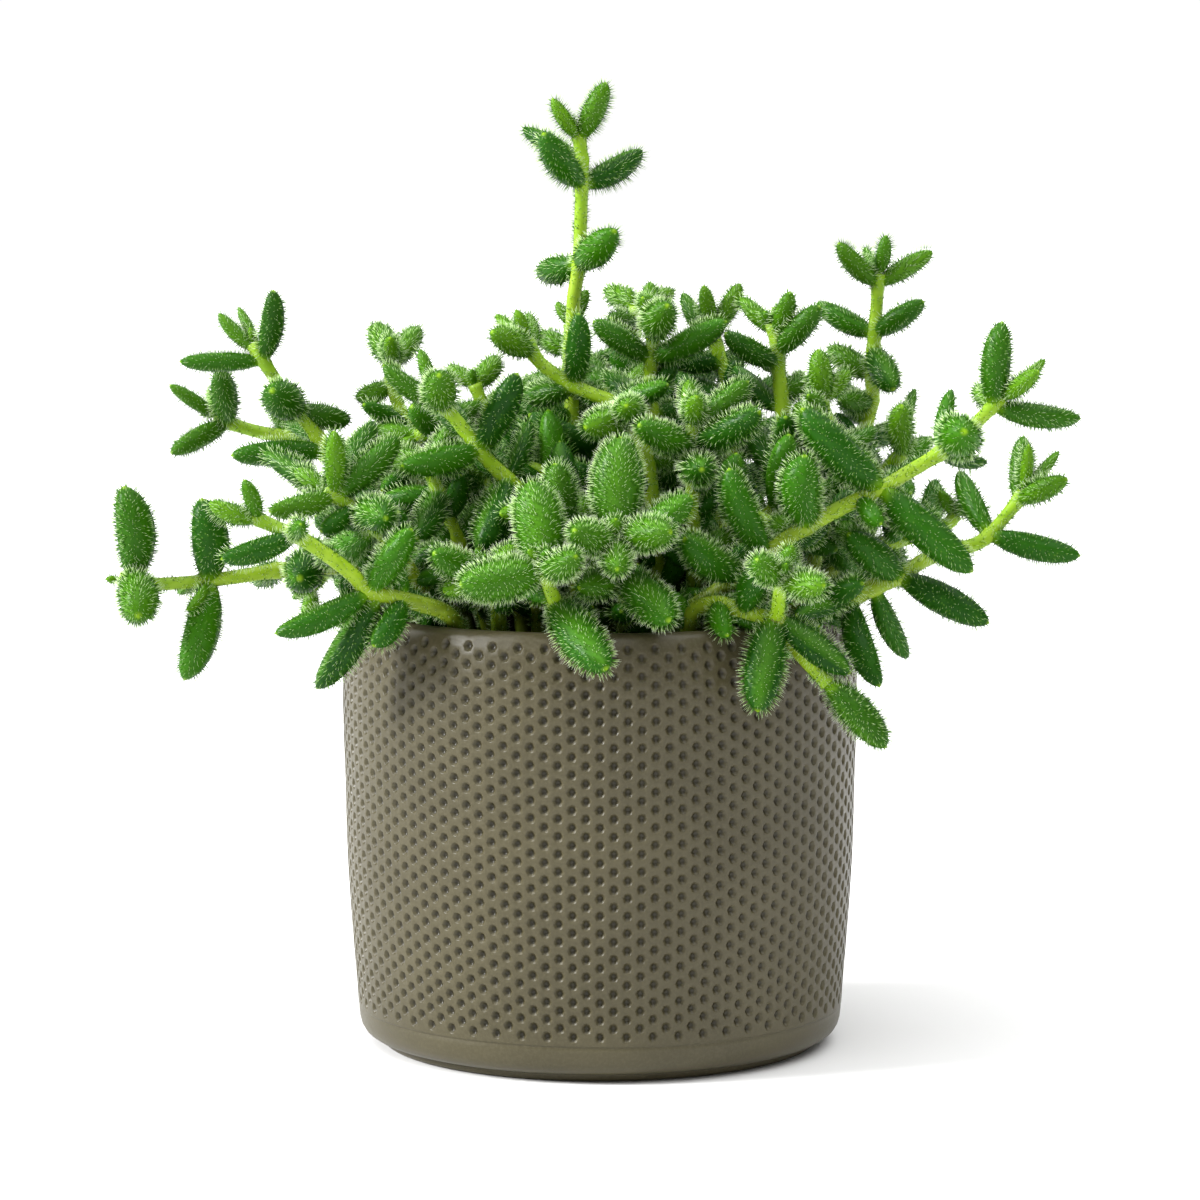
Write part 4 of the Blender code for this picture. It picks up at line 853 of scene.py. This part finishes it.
COVERING_BACK, COVERING_LENGTH = 1.6 * MM, 9 * MM
COVERING_LEAN, COVERING_TURN = 0.85, 1.44
FILL_SEED, BUD_SEED = 11, 31


def fill_leaves():
    """Smaller leaves for each stem where there is still room between the others."""
    draw = random.Random(FILL_SEED)
    grown = {}
    for name, root, route, asked in routes:
        lengths = [(b - a).length for a, b in zip(route, route[1:])]
        far, pair = FILL_START, 0
        while far < sum(lengths):
            index, rest = 0, far
            while rest > lengths[index]:
                rest -= lengths[index]
                index += 1
            base, ahead = point_on(route, index + rest / lengths[index])
            far += FILL_STEP
            pair += 1
            if base.z < SOIL_TOP + FILL_ABOVE_SOIL or not inside_outline(base):
                continue
            start = pair * pi / 2 + draw.uniform(-FILL_TURN, FILL_TURN)
            length = draw.uniform(*FILL_LENGTHS) * MM
            width = length * draw.uniform(*FILL_SLENDER)
            lean = draw.uniform(*FILL_LEANS)
            for half in (0, pi):
                leaf = room_for(name, base, ahead, start + half, lean, length, width)
                if leaf:
                    leaf_trees.setdefault(name, []).append(tree_of(leaf_solid(*leaf)))
                    grown.setdefault(name, []).append(leaf)
    return grown


def hides_drawn(base, way, side, length, width):
    """Whether a small leaf would stand before something that the photograph shows."""
    for share in SEEN_SHARES:
        for aside in (-SEEN_ASIDE, SEEN_ASIDE):
            point = base + way * length * share + side * width * aside
            ray = point - EYE
            hit = drawn_tree.ray_cast(EYE, ray.normalized())
            if hit[0] is not None and hit[3] > ray.length:
                return True
    return False


def room_for(name, base, ahead, turn, lean, length, width):
    """The first small leaf at a place that crosses nothing, or none."""
    others = trees_but(name, stem_trees) + trees_but(None, leaf_trees)
    side, up = frame_along(ahead, UP_HINT)
    for shrink in FILL_SHRINKS:
        for more in TRIED_TURNS:
            for bend in TRIED_LEANS:
                way = leaning(ahead, side, up, turn + more, lean + bend)
                tip = base + way * length * shrink
                if not inside_outline(tip) or hides_drawn(base, way, side, length * shrink, width):
                    continue
                free = leaf_solid(base + way * FILL_FREE_FROM, tip, width * shrink, ahead, SMALL_SIDES)
                if fits(free, others):
                    return base, tip, width * shrink, ahead, SMALL_SIDES
    return None


def end_buds(name, route, draw):
    """A pair of buds at a stem's end, and a pair of small leaves under it where the end is bare."""
    others = trees_but(name, stem_trees) + trees_but(None, leaf_trees)
    near = min((leaf[0] - route[-1]).length for leaf in leaves_of[name] + fill_of.get(name, []))
    sizes = [(0.0, 0.0, draw.uniform(*BUD_LENGTHS) * MM, BUD_LEAN)]
    if near > BARE_END:
        sizes.append((COVERING_BACK, COVERING_TURN, COVERING_LENGTH, COVERING_LEAN))
    ahead = (route[-1] - route[-2]).normalized()
    side, up = frame_along(ahead, UP_HINT)
    buds = []
    for back, start, length, lean in sizes:
        base = route[-1] - ahead * back
        width = length * BUD_SLENDER
        for half in (0, pi):
            for turn in BUD_TURNS:
                way = leaning(ahead, side, up, start + half + turn, lean)
                tip = base + way * length
                free = leaf_solid(base + way * length * BUD_FREE_FROM, tip, width, ahead, SMALL_SIDES)
                if fits(free, others):
                    bud = (base, tip, width, ahead, SMALL_SIDES)
                    leaf_trees.setdefault(name, []).append(tree_of(leaf_solid(*bud)))
                    buds.append(bud)
                    break
    return buds


# The drawn tree holds what the photograph shows, which no smaller leaf may hide.
corners, faces = [], []
for name, root, route, asked in routes:
    if asked is not None:
        solids = [stem_solid(route)]
        if root is not None:
            solids += [leaf_solid(*leaf) for leaf in leaves_of[name]]
        for points, sides in solids:
            faces += [[len(corners) + i for i in face] for face in sides]
            corners += points
drawn_tree = BVHTree.FromPolygons(corners, faces)
fill_of = fill_leaves()
draw = random.Random(BUD_SEED)
buds_of = {}
for name, root, route, asked in routes:
    buds_of.setdefault(name, []).extend(end_buds(name, route, draw))

# The stems' and leaves' flesh: juicy stems about 3 mm thick, and plump leaves like little gherkins,
# narrow at the foot, blunt at the tip and flatter on the side turned up the stem.
STEM_RING_STEP = 1.6 * MM
FLESH_SIDES = 10
FLESH_FOOT_RADIUS, FLESH_TIP_RADIUS = 1.85 * MM, 1.3 * MM
KNUCKLE_SWELL, KNUCKLE_REACH = 0.22, 2.2 * MM
LEAF_OUTLINE = ((0.0, 0.36), (0.08, 0.55), (0.18, 0.77), (0.32, 0.95), (0.46, 1.0), (0.6, 0.98), (0.74, 0.87),
                (0.86, 0.69), (0.94, 0.47), (1.0, 0.0))
LEAF_RING_PLACES = (0.0, 0.09, 0.22, 0.4, 0.58, 0.75, 0.88, 0.96)
LEAF_UPPER, LEAF_LOWER = 0.88, 1.04
LEAF_SWELL = 0.98
LEAF_BENDS, LEAF_SWAYS = (-0.05, 0.02), (-0.03, 0.03)
FURROW_DEPTH, FURROW_HALF_TURN = 0.2, 0.42
BLUNT_FROM, BLUNT_SLOPE = 0.985, -12
YOUNG_LENGTH, GROWN_LENGTH = 8.0, 17.0
YOUNG_STRETCH = 13 * MM
SMALL_LEAF_AGES = (0.7, 1.0)
BUD_AGE = 0.4


def smooth_route(points):
    """Points close together on a curve through the route's own points."""
    ends = [2 * points[0] - points[1]] + points + [2 * points[-1] - points[-2]]
    curve = []
    for a, b, c, d in zip(ends, ends[1:], ends[2:], ends[3:]):
        count = max(1, round((c - b).length / STEM_RING_STEP))
        for step in range(count):
            t = step / count
            curve.append(0.5 * (2 * b + (c - a) * t + (2 * a - 5 * b + 4 * c - d) * t ** 2
                                + (3 * b - a - 3 * c + d) * t ** 3))
    return curve + [points[-1]]


class Flesh:
    """Points, faces and the numbers at each point of one piece, gathered part by part."""

    def __init__(self):
        self.points, self.faces, self.slots = [], [], []
        self.marks = {"along": [], "upper": [], "age": [], "tone": []}
        self.count = 0

    def add(self, points, faces, slot, **marks):
        """Add one part: its points, its faces, their material's slot and the numbers at its points."""
        self.points.append(np.asarray(points))
        self.faces += [[self.count + i for i in face] for face in faces]
        self.slots += [slot] * len(faces)
        for name, values in self.marks.items():
            values.append(np.broadcast_to(np.asarray(marks[name], np.float32), len(points)))
        self.count += len(points)


def loft(rings, sides, pointed):
    """Faces of a row of rings with a point at its far end, or a lid."""
    faces = ring_faces(rings, sides, not pointed)
    if pointed:
        last = (rings - 1) * sides
        faces += [[last + k, last + (k + 1) % sides, rings * sides] for k in range(sides)]
    return faces


def leaf_form(leaf, wild):
    """The frame and measures of one leaf, with the small bend and twist of its own."""
    base, tip, width, face, sides = leaf
    along = (tip - base).normalized()
    side, up = frame_along(along, face)
    length = (tip - base).length
    age = (length / MM - YOUNG_LENGTH) / (GROWN_LENGTH - YOUNG_LENGTH)
    return {"base": np.array(base), "along": np.array(along), "side": np.array(side), "up": np.array(up),
            "length": length, "half": width / 2 * LEAF_SWELL, "bend": wild.uniform(*LEAF_BENDS) * length,
            "sway": wild.uniform(*LEAF_SWAYS) * length, "age": min(max(age, 0.0), 1.0),
            "tone": wild.random()}


def leaf_surface(form, place_along, around):
    """Points and outward directions on a leaf, from shares of its length and turns about it."""
    places, shares = np.array(LEAF_OUTLINE).T
    t, turn = np.broadcast_arrays(np.asarray(place_along, float), np.asarray(around, float))
    radius = np.interp(t, places, shares) * form["half"]
    slope = (np.interp(t + 0.01, places, shares) - np.interp(t - 0.01, places, shares)) * form["half"] / 0.02
    slope = np.where(t > BLUNT_FROM, BLUNT_SLOPE * form["half"], slope) / form["length"]
    flat = np.where(np.sin(turn) > 0, LEAF_UPPER, LEAF_LOWER)
    furrow = FURROW_DEPTH * np.exp(-((turn % (2 * pi) - pi / 2) / FURROW_HALF_TURN) ** 2)
    furrow = furrow * np.sin(pi * t) ** 0.5 * form["age"]
    across, lift = np.cos(turn) * radius, np.sin(turn) * radius * flat - furrow * radius
    arch = 4 * t * (1 - t)
    points = (form["base"] + np.outer(t * form["length"], form["along"])
              + np.outer(across + arch * form["sway"], form["side"])
              + np.outer(lift + arch * form["bend"], form["up"]))
    outward = (np.outer(np.cos(turn), form["side"]) + np.outer(np.sin(turn) / flat, form["up"]))
    outward /= np.linalg.norm(outward, axis=1)[:, None]
    outward = outward - np.outer(slope, form["along"])
    return points, outward / np.linalg.norm(outward, axis=1)[:, None]


def add_leaf(flesh, form):
    """One leaf's skin, ring by ring from its foot to its tip."""
    turns = 2 * pi * (np.arange(FLESH_SIDES) + 0.5) / FLESH_SIDES
    t = np.repeat(LEAF_RING_PLACES, FLESH_SIDES)
    around = np.tile(turns, len(LEAF_RING_PLACES))
    points, _ = leaf_surface(form, t, around)
    tip, _ = leaf_surface(form, [1.0], [0.0])
    faces = loft(len(LEAF_RING_PLACES), FLESH_SIDES, True)
    flesh.add(np.vstack((points, tip)), faces, 1, along=np.append(t, 1.0),
              upper=np.append(np.sin(around), 0.0), age=form["age"], tone=form["tone"])


def add_stem(flesh, route, nodes, tone):
    """One stem's skin along its route, swollen where a pair of leaves stands."""
    curve = smooth_route(route)
    total = len(curve) - 1
    hint = STEM_HINT
    points, along = [], []
    for index, point in enumerate(curve):
        ahead = (curve[min(index + 1, total)] - curve[max(index - 1, 0)]).normalized()
        side, hint = frame_along(ahead, hint)
        near = min([(point - node).length for node in nodes] + [1.0])
        radius = FLESH_FOOT_RADIUS + (FLESH_TIP_RADIUS - FLESH_FOOT_RADIUS) * index / total
        radius *= 1 + KNUCKLE_SWELL * max(0.0, 1 - near / KNUCKLE_REACH)
        for k in range(FLESH_SIDES):
            turn = 2 * pi * k / FLESH_SIDES
            points.append(point + side * cos(turn) * radius + hint * sin(turn) * radius)
            along.append(index / total)
    flesh.add(points, loft(total + 1, FLESH_SIDES, False), 0, along=along, upper=0.0, age=0.0, tone=tone)
    return curve


# The stem's skin is translucent yellow-green with fine paler streaks, and browner near the soil.
stem_finish, wiring, shader, place_on = new_finish("stem_skin", 0.42)
shader.inputs["Specular IOR Level"].default_value = 0.25
streaks = wiring.noise(place_on, 260, 3, 0.6)
green = wiring.ramp(wiring.read("along"), ((0.0, (0.05, 0.06, 0.006)), (0.3, (0.11, 0.16, 0.005)),
                                           (0.62, (0.22, 0.36, 0.004)), (1.0, (0.20, 0.38, 0.008))))
green = wiring.blend(wiring.span(streaks, 0.35, 0.7, 0.0, 0.45), green, (0.34, 0.50, 0.035))
wiring.feed(shader, "Base Color", green)
wiring.bump(shader, streaks, 0.25, 0.3 * MM)

# The leaf's skin is dark and faintly shiny when grown, pale yellow-green when young, with a lighter
# foot, tip and channel, and covered with tiny pale warts.
leaf_finish, wiring, shader, place_on = new_finish("leaf_skin", 0.38)
shader.inputs["Specular IOR Level"].default_value = 0.12
age, tone, along, upper = (wiring.read(name) for name in ("age", "tone", "along", "upper"))
mottle = wiring.noise(place_on, 330, 4, 0.6)
grown = wiring.ramp(tone, ((0.0, (0.004, 0.038, 0.0003)), (0.5, (0.012, 0.076, 0.0005)),
                           (1.0, (0.032, 0.135, 0.0008))))
young = wiring.ramp(tone, ((0.0, (0.045, 0.15, 0.002)), (1.0, (0.11, 0.26, 0.006))))
skin = wiring.blend(wiring.span(age, 0.05, 0.75), young, grown)
skin = wiring.blend(wiring.span(mottle, 0.4, 0.75, 0.0, 0.35), skin, (0.028, 0.12, 0.003))
skin = wiring.blend(wiring.span(along, 0.16, 0.0, 0.0, 0.8), skin, (0.17, 0.36, 0.004))
skin = wiring.blend(wiring.span(along, 0.965, 1.0, 0.0, 0.7), skin, (0.26, 0.44, 0.012))
skin = wiring.blend(wiring.span(upper, 0.7, 1.0, 0.0, 0.45), skin, (0.075, 0.22, 0.010))
warts = wiring.add("TexVoronoi", {"Vector": place_on, "Scale": 1150, "Randomness": 0.8}).outputs["Distance"]
skin = wiring.blend(wiring.span(warts, 0.30, 0.12, 0.0, 0.35), skin, (0.13, 0.27, 0.03))
wiring.feed(shader, "Base Color", skin)
wiring.feed(shader, "Roughness", wiring.span(mottle, 0.3, 0.7, 0.34, 0.5))
wiring.bump(shader, wiring.span(warts, 0.45, 0.1), 0.5, 0.15 * MM)

# The bristles: stiff hairs, green at the foot and white at the tip, that lean towards the leaf's tip.
# They stand closer together on young leaves, which look white for it, and fewer grow inside the mound, where
# painted shade keeps their tips darker green.
BRISTLE_LENGTH = 1.7 * MM
BRISTLE_RADIUS = 0.088 * MM
BRISTLE_SINK = 0.15 * MM
LEAF_BRISTLE_SHARES, STEM_BRISTLE_SHARES = (0.7, 1.15), (0.45, 0.8)
BRISTLE_FROM, BRISTLE_TO = 0.03, 0.995
FOOT_LEAN, TIP_LEAN = 0.05, 0.2
GOLDEN_ANGLE = 2.399963
FLATTENED = 0.93
BRISTLES_PER_MM2 = 1.35
YOUNG_CROWDING, CROWDING_LOST, BUD_CROWDING = 2.3, 1.3, 2
SHADED_INNER_PALENESS = 0.32
INNER_BRISTLES_PER_MM2 = 0.42
OUTER_BRISTLES_PER_MM2 = 0.9
INNER_REACH, OUTER_REACH = 30 * MM, 46 * MM
HEART = Vector((0, 5 * MM, SOIL_TOP + 12 * MM))
STEM_BRISTLES_PER_MM2 = 1.5
STEM_BRISTLE_RING = 2 * pi * 1.25
BARE_FOOT = 12 * MM
bristle_finish, wiring, shader, place_on = new_finish("bristle", 0.5)
shader.inputs["Specular IOR Level"].default_value = 0.12
pale = wiring.ramp(wiring.read("rise"), ((0.0, (0.008, 0.060, 0.0004)), (0.34, (0.05, 0.16, 0.005)),
                                         (0.64, (0.50, 0.70, 0.28)), (1.0, (0.95, 0.98, 0.87))))
wiring.feed(shader, "Base Color", pale)


def bristles_on_leaf(form, density, paleness, shake):
    """Feet, directions, lengths and paleness of one leaf's bristles, evenly spread over its skin."""
    t = np.linspace(BRISTLE_FROM, BRISTLE_TO, 200)
    places, shares = np.array(LEAF_OUTLINE).T
    radius = np.interp(t, places, shares) * form["half"]
    skin = np.hypot(np.gradient(radius), np.gradient(t) * form["length"]) * 2 * pi * radius * FLATTENED
    area = skin.sum()
    count = max(8, int(area / MM ** 2 * density))
    ranks = (np.arange(count) + shake.random(count)) / count
    where = np.interp(ranks, np.cumsum(skin) / area, t)
    around = (np.arange(count) * GOLDEN_ANGLE + shake.uniform(-0.3, 0.3, count)) % (2 * pi)
    feet, outward = leaf_surface(form, where, around)
    lean = form["along"] * (FOOT_LEAN + TIP_LEAN * where)[:, None]
    ways = outward + lean + shake.normal(0, 0.09, (count, 3))
    ways /= np.linalg.norm(ways, axis=1)[:, None]
    lengths = BRISTLE_LENGTH * shake.uniform(*LEAF_BRISTLE_SHARES, count)
    return feet, ways, lengths, np.full(count, paleness)


def bristles_on_stem(curve, shake):
    """Feet, directions, lengths and paleness of a stem's shorter bristles, above the soil."""
    path = np.array(curve)
    steps = np.linalg.norm(np.diff(path, axis=0), axis=1)
    far = np.concatenate(([0], np.cumsum(steps)))
    count = int(far[-1] / MM * STEM_BRISTLE_RING * STEM_BRISTLES_PER_MM2)
    where = shake.uniform(BARE_FOOT, far[-1], count)
    middle = np.column_stack([np.interp(where, far, path[:, i]) for i in range(3)])
    ahead = np.column_stack([np.interp(where + 0.5 * MM, far, path[:, i]) for i in range(3)]) - middle
    ahead = ahead / np.maximum(np.linalg.norm(ahead, axis=1), 1e-9)[:, None]
    out = shake.normal(0, 1, (count, 3))
    out -= (out * ahead).sum(1)[:, None] * ahead
    out /= np.linalg.norm(out, axis=1)[:, None]
    radius = FLESH_FOOT_RADIUS + (FLESH_TIP_RADIUS - FLESH_FOOT_RADIUS) * where / far[-1]
    ways = out + ahead * 0.3 + shake.normal(0, 0.15, (count, 3))
    ways /= np.linalg.norm(ways, axis=1)[:, None]
    lengths = BRISTLE_LENGTH * shake.uniform(*STEM_BRISTLE_SHARES, count)
    return middle + out * radius[:, None], ways, lengths, np.ones(count)


def bristle_mesh(name, feet, ways, lengths, paleness):
    """One object of three-sided bristles, each sunk a little into the skin."""
    count = len(feet)
    side = np.cross(ways, ODD_HINT)
    side /= np.linalg.norm(side, axis=1)[:, None]
    over = np.cross(ways, side)
    points = np.empty((count, 4, 3))
    for k in range(3):
        turn = 2 * pi * k / 3
        points[:, k] = feet - ways * BRISTLE_SINK + (side * cos(turn) + over * sin(turn)) * BRISTLE_RADIUS
    points[:, 3] = feet + ways * lengths[:, None]
    base = np.arange(count)[:, None, None] * 4
    faces = (base + np.array(((0, 1, 3), (1, 2, 3), (2, 0, 3)))).reshape(-1, 3)
    mesh = bpy.data.meshes.new(name)
    mesh.vertices.add(count * 4)
    mesh.vertices.foreach_set("co", points.astype(np.float32).ravel())
    mesh.loops.add(len(faces) * 3)
    mesh.loops.foreach_set("vertex_index", faces.astype(np.int32).ravel())
    mesh.polygons.add(len(faces))
    mesh.polygons.foreach_set("loop_start", np.arange(0, len(faces) * 3, 3, dtype=np.int32))
    mesh.update(calc_edges=True)
    mesh.validate()
    rise = mesh.attributes.new("rise", "FLOAT", "POINT")
    rise.data.foreach_set("value", np.outer(paleness, (0.0, 0.0, 0.0, 1.0)).astype(np.float32).ravel())
    made = bpy.data.objects.new(name, mesh)
    bpy.context.scene.collection.objects.link(made)
    mesh.materials.append(bristle_finish)
    return made


# Each leafy stem is one piece of flesh and one of bristles, in the place of its plain solid.
LEAF_SEED, BRISTLE_SEED = 21, 100
wild = random.Random(LEAF_SEED)
for number, (name, leaves) in enumerate(leaves_of.items()):
    shake = np.random.default_rng(BRISTLE_SEED + number)
    hidden = name.startswith("hidden")
    small = fill_of.get(name, [])
    flesh = Flesh()
    sprouts, ends = [], []
    for owner, root, route, asked in routes:
        if owner == name:
            curve = add_stem(flesh, route, [leaf[0] for leaf in leaves], wild.random())
            sprouts.append(bristles_on_stem(curve, shake))
            ends.append(route[-1])
    for leaf in leaves + small:
        form = leaf_form(leaf, wild)
        from_tip = min((leaf[0] - end).length for end in ends)
        form["age"] *= 0.5 + 0.5 * min(from_tip / YOUNG_STRETCH, 1.0)
        # The small leaves count as grown: their furrow and bristles follow from it, and their dark colour is
        # painted shade in the heart of the mound.
        if leaf in small:
            form["age"] = wild.uniform(*SMALL_LEAF_AGES)
        add_leaf(flesh, form)
        outer, density = 1.0, BRISTLES_PER_MM2
        if hidden or leaf in small:
            outer = ((leaf[1] - HEART).length - INNER_REACH) / (OUTER_REACH - INNER_REACH)
            outer = min(max(outer, 0.0), 1.0)
            density = INNER_BRISTLES_PER_MM2 + (OUTER_BRISTLES_PER_MM2 - INNER_BRISTLES_PER_MM2) * outer
        density *= YOUNG_CROWDING - CROWDING_LOST * form["age"]
        # Painted shade: on leaves deep in the mound the bristles' tips stay dark green instead of white.
        paleness = SHADED_INNER_PALENESS + (1 - SHADED_INNER_PALENESS) * outer
        sprouts.append(bristles_on_leaf(form, density, paleness, shake))
    for bud in buds_of[name]:
        form = leaf_form(bud, wild)
        form["age"] *= BUD_AGE
        add_leaf(flesh, form)
        sprouts.append(bristles_on_leaf(form, BUD_CROWDING * BRISTLES_PER_MM2, 1.0, shake))
    piece = new_mesh_object(name + "_flesh", np.vstack(flesh.points), flesh.faces)
    piece.data.polygons.foreach_set("material_index", flesh.slots)
    piece.data.polygons.foreach_set("use_smooth", [True] * len(flesh.faces))
    for mark, values in flesh.marks.items():
        layer = piece.data.attributes.new(mark, "FLOAT", "POINT")
        layer.data.foreach_set("value", np.concatenate(values).astype(np.float32))
    piece.data.materials.append(stem_finish)
    piece.data.materials.append(leaf_finish)
    hairs = bristle_mesh(name + "_bristles", *(np.concatenate(column) for column in zip(*sprouts)))
    for thing in (piece, hairs):
        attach(thing, "root")
    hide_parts(name)

# The photograph's setting: a white sweep, a soft low light from the left, a broad one from overhead and a
# faint one from behind on the right. The sky is white near the horizon and dim above.
SWEEP_SIZE = 12
LIGHTS = (("key", -77, 28, 20, 6.2), ("top", 10, 80, 90, 4.3), ("rim", 150, 35, 40, 0.4))
bpy.ops.object.select_all(action="DESELECT")
bpy.ops.mesh.primitive_plane_add(size=SWEEP_SIZE)
floor = bpy.context.object
floor.name = "white_sweep"
sweep_finish, wiring, shader, place_on = new_finish("white_sweep", 0.9)
shader.inputs["Base Color"].default_value = (0.8, 0.8, 0.8, 1)
shader.inputs["Specular IOR Level"].default_value = 0.0
floor.data.materials.append(sweep_finish)

world = bpy.data.worlds.new("studio")
bpy.context.scene.world = world
world.use_nodes = True
wiring = Wiring(world.node_tree)
aim = wiring.add("TexCoord").outputs["Generated"]
height = wiring.add("SeparateXYZ", {"Vector": aim}).outputs["Z"]
glow = wiring.ramp(height, ((0.0, (1.02, 1.02, 1.02)), (0.08, (1.02, 1.02, 1.02)), (0.25, (0.2, 0.2, 0.2))))
wiring.feed(world.node_tree.nodes["Background"], "Color", glow)
for name, azimuth, elevation, spread, power in LIGHTS:
    lamp = bpy.data.lights.new(name, "SUN")
    lamp.energy, lamp.angle = power, radians(spread)
    light = bpy.data.objects.new(name, lamp)
    turn, rise = radians(azimuth), radians(elevation)
    toward = Vector((sin(turn) * cos(rise), -cos(turn) * cos(rise), sin(rise)))
    light.rotation_euler = toward.to_track_quat("Z", "Y").to_euler()
    bpy.context.scene.collection.objects.link(light)

# The camera stands level with the tallest leaves and looks slightly down.
camera = bpy.data.objects.new("camera", bpy.data.cameras.new("camera"))
camera.data.lens, camera.data.sensor_width = 133.2, 36
camera.data.clip_end = 50
camera.location = EYE
camera.rotation_euler = (radians(90) - PITCH, 0, 0)
bpy.context.scene.collection.objects.link(camera)
bpy.context.scene.camera = camera
bpy.context.scene.view_settings.view_transform = "Standard"
